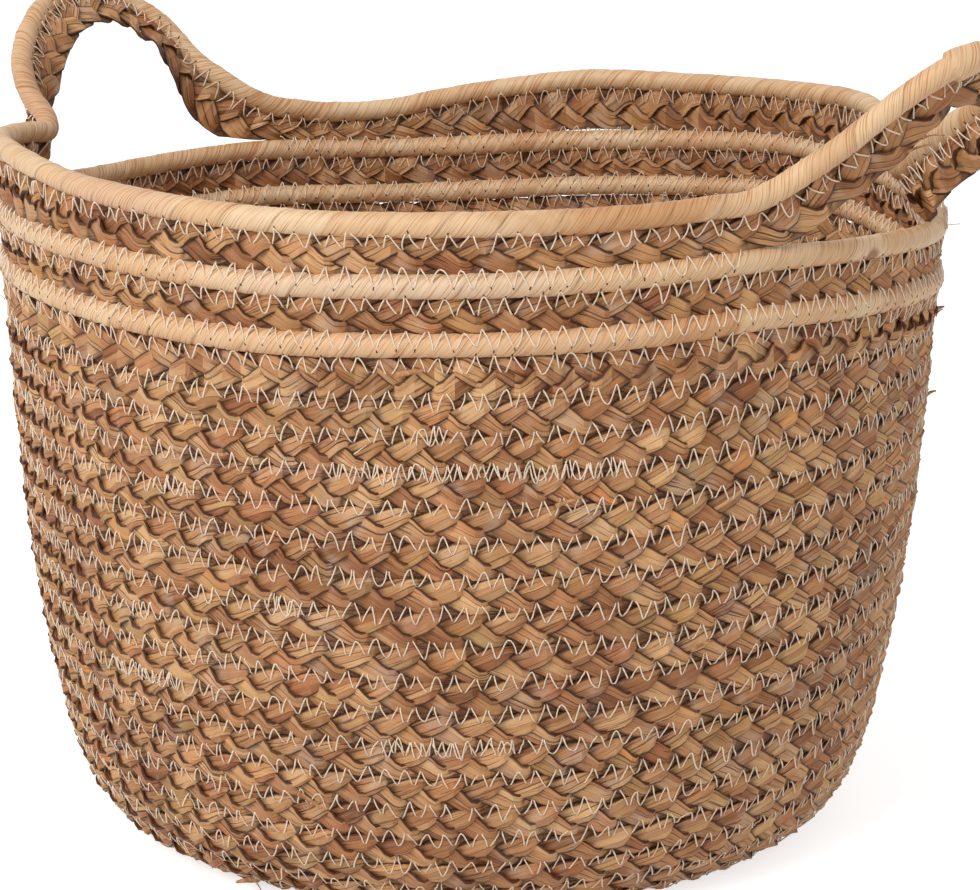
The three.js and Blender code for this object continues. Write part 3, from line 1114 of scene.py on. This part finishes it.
# MATERIALS
def colour(red, green, blue):
    """A colour given as it looks on a screen, from 0 to 255, turned into the linear values of a shader."""
    shown = np.array([red, green, blue]) / 255
    linear = np.where(shown <= 0.04045, shown / 12.92, ((shown + 0.055) / 1.055) ** 2.4)
    return (*linear.tolist(), 1)


class Nodes:
    """Adds nodes to a material or node group. An input may be a value or another node's output."""

    def __init__(self, tree):
        self.tree = tree

    def feed(self, node, inputs):
        for name, value in inputs.items():
            if isinstance(value, bpy.types.NodeSocket):
                self.tree.links.new(value, node.inputs[name])
            else:
                node.inputs[name].default_value = value

    def add(self, kind, inputs=None, **settings):
        made = self.tree.nodes.new(kind)
        for name, value in settings.items():
            setattr(made, name, value)
        self.feed(made, inputs or {})
        return made

    def math(self, operation, first, second=0.0, third=0.0):
        made = self.add("ShaderNodeMath", {0: first, 1: second, 2: third}, operation=operation)
        return made.outputs[0]

    def sum(self, first, second):
        return self.math("ADD", first, second)

    def times(self, first, second):
        return self.math("MULTIPLY", first, second)

    def rest(self, share):
        return self.math("SUBTRACT", 1.0, share)

    def from_ends(self, share):
        """How far a value between 0 and 1 is from the nearer of the two."""
        return self.math("MINIMUM", share, self.rest(share))

    def remap(self, value, low, high, to_low=0.0, to_high=1.0):
        inputs = {"Value": value, "From Min": low, "From Max": high, "To Min": to_low, "To Max": to_high}
        return self.add("ShaderNodeMapRange", inputs, interpolation_type="SMOOTHSTEP").outputs["Result"]

    def noise(self, vector, scale, detail=3.0, roughness=0.55):
        inputs = {"Vector": vector, "Scale": scale, "Detail": detail, "Roughness": roughness}
        return self.add("ShaderNodeTexNoise", inputs).outputs["Fac"]

    def vector(self, x=0.0, y=0.0, z=0.0):
        return self.add("ShaderNodeCombineXYZ", {"X": x, "Y": y, "Z": z}).outputs["Vector"]

    def stretched(self, u, v, along, across, *kind, row=0.0):
        """Noise with so many spots to a unit of U and of V. kind is its detail and, if given, roughness."""
        place = self.vector(self.times(u, along), self.times(v, across), row)
        return self.noise(place, 1.0, *kind)

    def chance(self, place, **settings):
        """A random value for each place."""
        return self.add("ShaderNodeTexWhiteNoise", {"Vector": place}, **settings).outputs["Value"]

    def place_on(self, uv_name):
        """U and V of the piece's own map."""
        uv = self.add("ShaderNodeUVMap", uv_map=uv_name).outputs["UV"]
        place = self.add("ShaderNodeSeparateXYZ", {0: uv})
        return place.outputs["X"], place.outputs["Y"]

    def object_place(self):
        return self.add("ShaderNodeTexCoord").outputs["Object"]

    def blend(self, share, first, second, kind="MIX"):
        made = self.add("ShaderNodeMix", data_type="RGBA", blend_type=kind)
        for name, value in (("Factor", share), ("A", first), ("B", second)):
            socket = next(s for s in made.inputs if s.name == name and s.enabled)
            if isinstance(value, bpy.types.NodeSocket):
                self.tree.links.new(value, socket)
            else:
                socket.default_value = value
        return next(s for s in made.outputs if s.enabled)

    def lay(self, base, layers):
        """Lays colours over the base one by one, each with its share and its kind of blend."""
        for share, shade, kind in layers:
            base = self.blend(share, base, shade, kind)
        return base

    def ramp(self, value, stops):
        made = self.add("ShaderNodeValToRGB", {"Fac": value})
        elements = made.color_ramp.elements
        while len(elements) < len(stops):
            elements.new(0.5)
        for element, (position, shade) in zip(elements, stops):
            element.position = position
            element.color = shade
        return made.outputs["Color"]

    def bump(self, height, strength, distance):
        inputs = {"Height": height, "Strength": strength, "Distance": distance}
        return self.add("ShaderNodeBump", inputs).outputs["Normal"]

    def seen(self):
        """1 for what the camera sees, straight or through gloss and glass, and 0 for light."""
        path = self.add("ShaderNodeLightPath").outputs
        seen = self.math("MAXIMUM", path["Is Camera Ray"], path["Is Glossy Ray"])
        return self.math("MAXIMUM", seen, path["Is Transmission Ray"])


def node_group(name, inputs, outputs):
    """A group of number sockets: its inputs with their values, and its outputs."""
    group = bpy.data.node_groups.new(name, "ShaderNodeTree")
    for socket, value in inputs.items():
        made = group.interface.new_socket(socket, in_out="INPUT", socket_type="NodeSocketFloat")
        made.default_value = value
    for socket in outputs:
        group.interface.new_socket(socket, in_out="OUTPUT", socket_type="NodeSocketFloat")
    return group, Nodes(group), group.nodes.new("NodeGroupInput"), group.nodes.new("NodeGroupOutput")


# Patterns of the leaf: how many spots to a petal's length and to a blade's width, and their detail
WIDE_STREAKS = (1.3, 2.2, 2.0)
FINE_STREAKS = (2.0, 8.0, 4.0)
LEAF_CRACKS = (1.2, 5.0, 2.0)
STREAK_WARP = (1.4, 0.4, 1.0)

# How far the warp bends the streaks, in blades, and how much of the streaks is wide and fine
STREAK_WARP_REACH = 0.9
WIDE_SHARE = 0.4
FINE_SHARE = 0.6

# Rows of random values, one for each pattern
TONE_ROW = 0.5
TINT_ROW = 3.5
BLADE_ROW = 7.5
WARP_ROW = 9.0
LINING_ROW = 11.5

# Masks: the pattern's value where the mask starts and where it is full, then the mask's least and greatest
# value where these aren't 0 and 1. Plain petals have faint gaps and cracks, and lined petals strong ones. The
# gaps are painted shade between the blades, and its width follows the wide streaks.
PETAL_LINING = (0.1, 0.9, 0.25, 1.4)
GAP_SHADE_WIDTHS = (0.38, 0.62, 0.05, 1.8)
CRACKS_SHOW = (0.38, 0.33)
# The outline is painted shade along a strand's two edges, where it lies on the next
OUTLINE_SHADE_SHOWS = (1.0, 0.2)

# How softly the painted shade of a gap ends
GAP_SOFTNESS = 0.2


def leaf_blades_group():
    """Leaf blades: U runs along the strand, one unit a petal, and V across it, one unit a blade."""
    inputs = {"Gap Width": 0.1, "Blade Share": 0.36, "Outline Width": 0.24}
    outputs = ("Tone", "Tint", "Streaks", "Cracks", "Gap", "Outline")
    group, nodes, given, result = node_group("leaf_blades", inputs, outputs)
    u, v = nodes.place_on("leaf")
    petal = nodes.math("FLOOR", u)
    blade = nodes.vector(petal, nodes.math("FLOOR", v), BLADE_ROW)

    share = given.outputs["Blade Share"]
    own_tone = nodes.times(nodes.chance(blade), share)
    petal_tone = nodes.times(nodes.chance(nodes.vector(petal, TONE_ROW)), nodes.rest(share))
    lined = nodes.remap(nodes.chance(nodes.vector(petal, LINING_ROW)), *PETAL_LINING)

    warp = nodes.stretched(u, v, *STREAK_WARP, row=WARP_ROW)
    warped = nodes.sum(v, nodes.times(warp, STREAK_WARP_REACH))
    wide = nodes.stretched(u, warped, *WIDE_STREAKS)
    fine = nodes.stretched(u, warped, *FINE_STREAKS)
    # Cracks: fine splits along the leaf, partly its own dark lines and partly painted shade in them
    cracks = nodes.remap(nodes.stretched(u, warped, *LEAF_CRACKS), *CRACKS_SHOW)

    # Painted shade in the gaps between blades
    gap_shade_width = nodes.times(given.outputs["Gap Width"], nodes.remap(wide, *GAP_SHADE_WIDTHS))
    from_gap = nodes.math("DIVIDE", nodes.from_ends(nodes.math("FRACT", v)), nodes.times(gap_shade_width, lined))
    gap = nodes.rest(nodes.math("SMOOTH_MIN", from_gap, 1.0, GAP_SOFTNESS))

    # Painted shade along the strand's two edges: a dark outline round each petal
    blades = float(BLADES)
    from_side = nodes.from_ends(nodes.math("FRACT", nodes.math("DIVIDE", v, blades)))
    from_side = nodes.math("DIVIDE", nodes.times(from_side, blades), given.outputs["Outline Width"])
    patterns = {
        "Tone": nodes.sum(own_tone, petal_tone),
        "Tint": nodes.chance(nodes.vector(petal, TINT_ROW)),
        "Streaks": nodes.sum(nodes.times(wide, WIDE_SHARE), nodes.times(fine, FINE_SHARE)),
        "Cracks": nodes.times(cracks, lined),
        "Gap": nodes.math("MAXIMUM", gap, 0.0),
        "Outline": nodes.remap(from_side, *OUTLINE_SHADE_SHOWS),
    }
    nodes.feed(result, patterns)
    return group


# Patterns of the husk: how many spots to a wrap and round the cord, their detail, and the lines' roughness
HUSK_LINES = (30.0, 1.4, 3.0, 0.5)
HUSK_BREAKS = (0.8, 5.0, 1.0)

# Width of the dark edge of a wrap: the values of the breaks where it is narrowest and widest, and these
# widths in shares of the wrap
HUSK_EDGE_WIDTHS = (0.4, 0.65, 0.003, 0.016)


def husk_wraps_group():
    """Husk wraps: U counts the wraps along a cord and V runs once round it."""
    group, nodes, given, result = node_group("husk_wraps", {}, ("Tone", "Lines", "Edge"))
    u, v = nodes.place_on("husk")
    wrap = nodes.vector(nodes.math("FLOOR", u), TONE_ROW)
    width = nodes.remap(nodes.stretched(u, v, *HUSK_BREAKS), *HUSK_EDGE_WIDTHS)
    from_edge = nodes.math("DIVIDE", nodes.from_ends(nodes.math("FRACT", u)), width)
    patterns = {
        "Tone": nodes.chance(wrap, noise_dimensions="2D"),
        "Lines": nodes.stretched(u, v, *HUSK_LINES),
        "Edge": nodes.rest(nodes.math("MINIMUM", from_edge, 1.0)),
    }
    nodes.feed(result, patterns)
    return group


def new_material(name):
    material = bpy.data.materials.new(name)
    material.use_nodes = True
    nodes = Nodes(material.node_tree)
    shader = material.node_tree.nodes["Principled BSDF"]
    return material, nodes, shader


# Seagrass leaf: the tones that its blades take, the colour of painted shade deep between them, and the colour
# of dark streaks
WALL_LEAF = {
    "tones": [
        (0.0, colour(146, 92, 60)),
        (0.2, colour(184, 126, 82)),
        (0.38, colour(210, 154, 104)),
        (0.56, colour(234, 186, 132)),
        (0.7, colour(200, 142, 99)),
        (0.8, colour(196, 154, 102)),
        (0.88, colour(226, 174, 118)),
        (1.0, colour(236, 150, 82)),
    ],
    "shadow": colour(70, 36, 16),
    "dark_streak": colour(158, 104, 64),
    "roughness": 0.55,
}
BAND_LEAF = {
    "tones": [
        (0.0, colour(150, 94, 58)),
        (0.3, colour(186, 130, 84)),
        (0.6, colour(212, 158, 106)),
        (0.85, colour(228, 174, 120)),
        (1.0, colour(184, 124, 82)),
    ],
    "shadow": colour(60, 30, 13),
    "dark_streak": colour(150, 98, 60),
    "roughness": 0.5,
}
REDDISH_LEAF = colour(236, 190, 172)
GREENISH_LEAF = colour(212, 206, 166)
# A pale grey laid in patches: partly greyer leaf and partly painted sheen
GREY_TONE_AND_SHEEN = colour(212, 184, 160)
PALE_STREAK = colour(236, 196, 146)

# Patterns over many petals, in spots to a metre, and the masks of all the leaf's colours
CLOUD_SPOTS = 24.0
TINT_SPOTS = 17.0
SHEEN_PATCH_SPOTS = 70.0
WIDE_DETAIL = 2.0
CLOUDS_SHOW = (0.42, 0.68, 0.0, 0.42)
TINT_DRIFT = (0.3, 0.7, -0.12, 0.12)
REDDISH_SHOWS = (0.8, 1.0, 0.0, 0.42)
GREENISH_SHOWS = (0.28, 0.08, 0.0, 0.4)
SHEEN_PATCHES_SHOW = (0.52, 0.72, 0.0, 0.4)
DARK_STREAKS_SHOW = (0.47, 0.35, 0.0, 0.7)
PALE_STREAKS_SHOW = (0.52, 0.68, 0.0, 0.35)
# Painted shade in the plait's hollows, from the outside attribute
HOLLOW_SHADE_SHOWS = (0.48, 0.06, 0.0, 0.72)
CRACK_SHARE = 0.6
GAP_SHADE_SHARE = 0.9
OUTLINE_SHADE_SHARE = 0.85

# Dark streaks are this much rougher, and gaps and cracks are sunk. A bump is its strength and its height.
STREAK_SHEEN = (0.3, 0.7)
STREAK_DULLNESS = 0.12
SUNK_SHARE = 0.8
LEAF_BUMP = (0.7, 0.3 * MM)
DRY_SHEEN = 0.35


def leaf_material(name, group, tones, shadow, dark_streak, roughness):
    material, nodes, shader = new_material(name)
    blades = nodes.add("ShaderNodeGroup", node_tree=group).outputs
    place = nodes.object_place()
    clouds = nodes.remap(nodes.noise(place, CLOUD_SPOTS, WIDE_DETAIL), *CLOUDS_SHOW)
    # Pale grey patches: partly greyer leaf, partly painted sheen
    grey_sheen = nodes.remap(nodes.noise(place, SHEEN_PATCH_SPOTS, WIDE_DETAIL), *SHEEN_PATCHES_SHOW)
    tint_drift = nodes.remap(nodes.noise(place, TINT_SPOTS, WIDE_DETAIL), *TINT_DRIFT)
    tint = nodes.sum(blades["Tint"], tint_drift)
    # outside: the mask of painted shade in the plait's hollows and along its seams
    outside = nodes.add("ShaderNodeAttribute", attribute_name="outside").outputs["Fac"]
    # The last four layers lay the shadow colour. They paint shade in the gaps between blades, along each
    # strand's outline and in the plait's hollows. In the cracks they paint the leaf's own dark lines with
    # painted shade in them.
    layers = (
        (clouds, dark_streak, "MULTIPLY"),
        (nodes.remap(tint, *REDDISH_SHOWS), REDDISH_LEAF, "MULTIPLY"),
        (nodes.remap(tint, *GREENISH_SHOWS), GREENISH_LEAF, "MULTIPLY"),
        (grey_sheen, GREY_TONE_AND_SHEEN, "MIX"),
        (nodes.remap(blades["Streaks"], *DARK_STREAKS_SHOW), dark_streak, "MULTIPLY"),
        (nodes.remap(blades["Streaks"], *PALE_STREAKS_SHOW), PALE_STREAK, "MIX"),
        (nodes.times(blades["Cracks"], CRACK_SHARE), shadow, "MIX"),
        (nodes.times(blades["Gap"], GAP_SHADE_SHARE), shadow, "MIX"),
        (nodes.times(blades["Outline"], OUTLINE_SHADE_SHARE), shadow, "MIX"),
        (nodes.remap(outside, *HOLLOW_SHADE_SHOWS), shadow, "MIX"),
    )
    sunk = nodes.math("MAXIMUM", blades["Gap"], blades["Cracks"])
    relief = nodes.math("SUBTRACT", blades["Streaks"], nodes.times(sunk, SUNK_SHARE))
    surface = {
        "Base Color": nodes.lay(nodes.ramp(blades["Tone"], tones), layers),
        "Roughness": nodes.remap(blades["Streaks"], *STREAK_SHEEN, roughness + STREAK_DULLNESS, roughness),
        "Normal": nodes.bump(relief, *LEAF_BUMP),
        "Specular IOR Level": DRY_SHEEN,
    }
    nodes.feed(shader, surface)
    return material


# Husk. Each cord has paler and browner patches: centre and reach in metres, and colour.
LOWER_CORD_PATCHES = (
    ((0.12, -0.16, 0.245), 0.16, colour(234, 190, 146)),
    ((0.185, -0.09, 0.245), 0.025, colour(214, 160, 110)),
)
MIDDLE_CORD_PATCHES = (
    ((0.105, -0.178, 0.264), 0.085, colour(238, 208, 176)),
    ((0.205, -0.004, 0.266), 0.006, colour(150, 96, 50)),
)
RIM_CORD_PATCHES = (
    ((0.17, -0.113, 0.296), 0.045, colour(212, 156, 104)),
    ((-0.02, -0.205, 0.298), 0.05, colour(232, 192, 156)),
    ((-0.19, -0.07, 0.298), 0.04, colour(214, 168, 128)),
)
HUSK_TONES = [
    (0.0, colour(234, 192, 148)),
    (0.45, colour(240, 203, 159)),
    (0.8, colour(244, 212, 172)),
    (1.0, colour(228, 184, 140)),
]
HUSK_LINE = colour(214, 172, 130)
HUSK_STAIN = colour(204, 150, 100)
HUSK_EDGE = colour(140, 92, 52)

# Patterns over the husk, in spots to a metre, and the masks of its colours
PATCH_RAGS = 90.0
STAIN_SPOTS = 30.0
HUSK_DETAIL = 3.0
PATCHES_SHOW = (1.45, 1.0, 0.0, 0.8)
HUSK_LINES_SHOW = (0.52, 0.36, 0.0, 0.85)
STAINS_SHOW = (0.6, 0.78, 0.0, 0.7)
HUSK_EDGES_SHOW = (0.3, 0.9, 0.15, 0.8)
HUSK_ROUGHNESS = 0.5
HUSK_BUMP = (0.5, 0.2 * MM)


def husk_material(name, group, patches):
    material, nodes, shader = new_material(name)
    wraps = nodes.add("ShaderNodeGroup", node_tree=group).outputs
    place = nodes.object_place()
    ragged = nodes.noise(place, PATCH_RAGS, HUSK_DETAIL)
    layers = []
    for centre, reach, shade in patches:
        away = nodes.add("ShaderNodeVectorMath", {0: place, 1: centre}, operation="DISTANCE").outputs["Value"]
        away = nodes.sum(nodes.math("DIVIDE", away, reach), ragged)
        layers.append((nodes.remap(away, *PATCHES_SHOW), shade, "MIX"))
    layers.append((nodes.remap(wraps["Lines"], *HUSK_LINES_SHOW), HUSK_LINE, "MULTIPLY"))
    stains = nodes.noise(place, STAIN_SPOTS, HUSK_DETAIL)
    layers.append((nodes.remap(stains, *STAINS_SHOW), HUSK_STAIN, "MIX"))
    edge = nodes.times(wraps["Edge"], nodes.remap(wraps["Tone"], *HUSK_EDGES_SHOW))
    layers.append((edge, HUSK_EDGE, "MIX"))
    relief = nodes.math("SUBTRACT", wraps["Lines"], wraps["Edge"])
    surface = {
        "Base Color": nodes.lay(nodes.ramp(wraps["Tone"], HUSK_TONES), layers),
        "Roughness": HUSK_ROUGHNESS,
        "Normal": nodes.bump(relief, *HUSK_BUMP),
        "Specular IOR Level": DRY_SHEEN,
    }
    nodes.feed(shader, surface)
    return material


THREAD_FIBRES = 900.0
THREAD_DETAIL = 2.0
THREAD_TONES = [(0.3, colour(252, 222, 192)), (0.7, colour(255, 242, 220))]
THREAD_ROUGHNESS = 0.55


def thread_material():
    material, nodes, shader = new_material("sewing_thread")
    fibres = nodes.noise(nodes.object_place(), THREAD_FIBRES, THREAD_DETAIL)
    nodes.feed(shader, {"Base Color": nodes.ramp(fibres, THREAD_TONES), "Roughness": THREAD_ROUGHNESS})
    return material


MOTTLES = 400.0
MOTTLE_DETAIL = 3.0
MOTTLES_FROM = 0.35
MOTTLES_TO = 0.65
MOTTLE_BUMP = (0.4, 0.2 * MM)


def mottled_material(name, dark, pale, roughness):
    material, nodes, shader = new_material(name)
    mottle = nodes.noise(nodes.object_place(), MOTTLES, MOTTLE_DETAIL)
    surface = {
        "Base Color": nodes.ramp(mottle, [(MOTTLES_FROM, dark), (MOTTLES_TO, pale)]),
        "Roughness": roughness,
        "Normal": nodes.bump(mottle, *MOTTLE_BUMP),
    }
    nodes.feed(shader, surface)
    return material


# STAGE
# The photograph's view: the camera's place round the basket's axis, its distance from it and its height, how
# far it looks down and past the axis, and its lens and film in millimetres
CAMERA_AZIMUTH = math.radians(38.5)
CAMERA_DISTANCE = 1294.4 * MM
CAMERA_HEIGHT = 477.9 * MM
CAMERA_PITCH = math.radians(13.85)
CAMERA_TURN = math.radians(0.369)
LENS = 110.69
FILM_WIDTH = 36
FARTHEST_SEEN = 50

# A pale floor that glows a little to the eye, and an even white light that looks full white to the eye
FLOOR_SIZE = 14
FLOOR_COLOUR = (0.86, 0.86, 0.86, 1)
FLOOR_ROUGHNESS = 0.9
FLOOR_SHEEN = 0.1
FLOOR_GLOW = 0.7
WORLD_LIGHT = 0.45
LAMPS_AIM_AT = Vector((0, 0, 0.15))


def make_camera():
    data = bpy.data.cameras.new("camera")
    data.lens = LENS
    data.sensor_width = FILM_WIDTH
    data.clip_end = FARTHEST_SEEN
    camera = bpy.data.objects.new("camera", data)
    bpy.context.scene.collection.objects.link(camera)
    aside = CAMERA_DISTANCE * math.sin(CAMERA_AZIMUTH)
    forward = -CAMERA_DISTANCE * math.cos(CAMERA_AZIMUTH)
    camera.location = (aside, forward, CAMERA_HEIGHT)
    camera.rotation_euler = Euler((math.pi / 2 - CAMERA_PITCH, 0, CAMERA_AZIMUTH - CAMERA_TURN))
    bpy.context.scene.camera = camera


def make_floor():
    bpy.ops.object.select_all(action="DESELECT")
    bpy.ops.mesh.primitive_plane_add(size=FLOOR_SIZE, location=(0, 0, 0))
    floor = bpy.context.object
    floor.name = "floor"
    material, nodes, shader = new_material("studio_floor")
    surface = {"Base Color": FLOOR_COLOUR, "Roughness": FLOOR_ROUGHNESS, "Specular IOR Level": FLOOR_SHEEN}
    nodes.feed(shader, surface)
    glow = nodes.add("ShaderNodeEmission", {"Strength": nodes.times(nodes.seen(), FLOOR_GLOW)})
    both = nodes.add("ShaderNodeAddShader", {0: shader.outputs["BSDF"], 1: glow.outputs["Emission"]})
    nodes.feed(material.node_tree.nodes["Material Output"], {"Surface": both.outputs["Shader"]})
    floor.data.materials.append(material)


def make_world():
    world = bpy.data.worlds.new("studio")
    bpy.context.scene.world = world
    world.use_nodes = True
    nodes = Nodes(world.node_tree)
    level = nodes.remap(nodes.seen(), 0.0, 1.0, WORLD_LIGHT, 1.0)
    nodes.feed(world.node_tree.nodes["Background"], {"Color": (1, 1, 1, 1), "Strength": level})


def make_lamp(name, aside, forward, height, size, power):
    """A soft lamp, so far to the camera's right (aside) and towards the camera (forward)."""
    right = Vector((math.cos(CAMERA_AZIMUTH), math.sin(CAMERA_AZIMUTH), 0))
    front = Vector((math.sin(CAMERA_AZIMUTH), -math.cos(CAMERA_AZIMUTH), 0))
    data = bpy.data.lights.new(name, "AREA")
    data.size = size
    data.energy = power
    lamp = bpy.data.objects.new(name, data)
    bpy.context.scene.collection.objects.link(lamp)
    lamp.location = right * aside + front * forward + Vector((0, 0, height))
    lamp.rotation_euler = (LAMPS_AIM_AT - lamp.location).to_track_quat("-Z", "Y").to_euler()


def finish_piece(piece, material):
    piece.data.materials.append(material)
    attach(piece, "root")


bpy.context.scene.view_settings.view_transform = "Standard"
make_camera()
make_floor()
make_world()
make_lamp("key_lamp", aside=-1.2, forward=1.6, height=1.9, size=1.4, power=37)
make_lamp("fill_lamp", aside=1.6, forward=1.4, height=1.1, size=1.6, power=2.5)

leaf_blades = leaf_blades_group()
husk_wraps = husk_wraps_group()
seagrass = leaf_material("seagrass", leaf_blades, **WALL_LEAF)
band_seagrass = leaf_material("band_seagrass", leaf_blades, **BAND_LEAF)
thread = thread_material()
# The needle holes' dark colour is painted shade
needle_hole_shade = mottled_material("needle_hole_shade", colour(78, 46, 24), colour(106, 66, 36), roughness=0.9)
stray_leaf = mottled_material("stray_leaf", colour(146, 98, 62), colour(206, 152, 102), roughness=0.7)

lower_width = LOWER_BAND_WIDTH + LOWER_BAND_TUCK
winding = make_winding()
top_row = make_plait_hoop("top_row_plait", TOP_ROW_ALONG, TOP_ROW_WIDTH, lay=-1, seed=21, offset=4000)
lower_band = make_plait_hoop("lower_band_plait", LOWER_BAND_ALONG, lower_width, lay=1, seed=22, offset=5000)
upper_band = make_upper_band(seed=23, offset=6000)
lower_cord = level_cord("lower_cord", LOWER_CORD_ALONG, seed=31, offset=100)
middle_cord = level_cord("middle_cord", MIDDLE_CORD_ALONG, seed=32, offset=300)
top_cord = rim_cord(seed=33, offset=500)
for piece in [*winding.values(), top_row]:
    finish_piece(piece, seagrass)
for piece in (lower_band, upper_band):
    finish_piece(piece, band_seagrass)
husks = {
    "lower_cord_husk": (lower_cord, LOWER_CORD_PATCHES),
    "middle_cord_husk": (middle_cord, MIDDLE_CORD_PATCHES),
    "rim_cord_husk": (top_cord, RIM_CORD_PATCHES),
}
for name, (piece, patches) in husks.items():
    finish_piece(piece, husk_material(name, husk_wraps, patches))

sewn = surface_finder([*winding.values(), top_row, lower_band, upper_band, lower_cord, middle_cord, top_cord])
threads, holes = make_threads(sewn)
for piece in threads:
    finish_piece(piece, thread)
finish_piece(holes, needle_hole_shade)
finish_piece(strays("stray_leaf_ends", STRAY_LEAVES), stray_leaf)
finish_piece(strays("stray_thread_ends", STRAY_THREADS), thread)
finish_piece(frayed_fibres(), stray_leaf)
finish_piece(tucked_start(), stray_leaf)
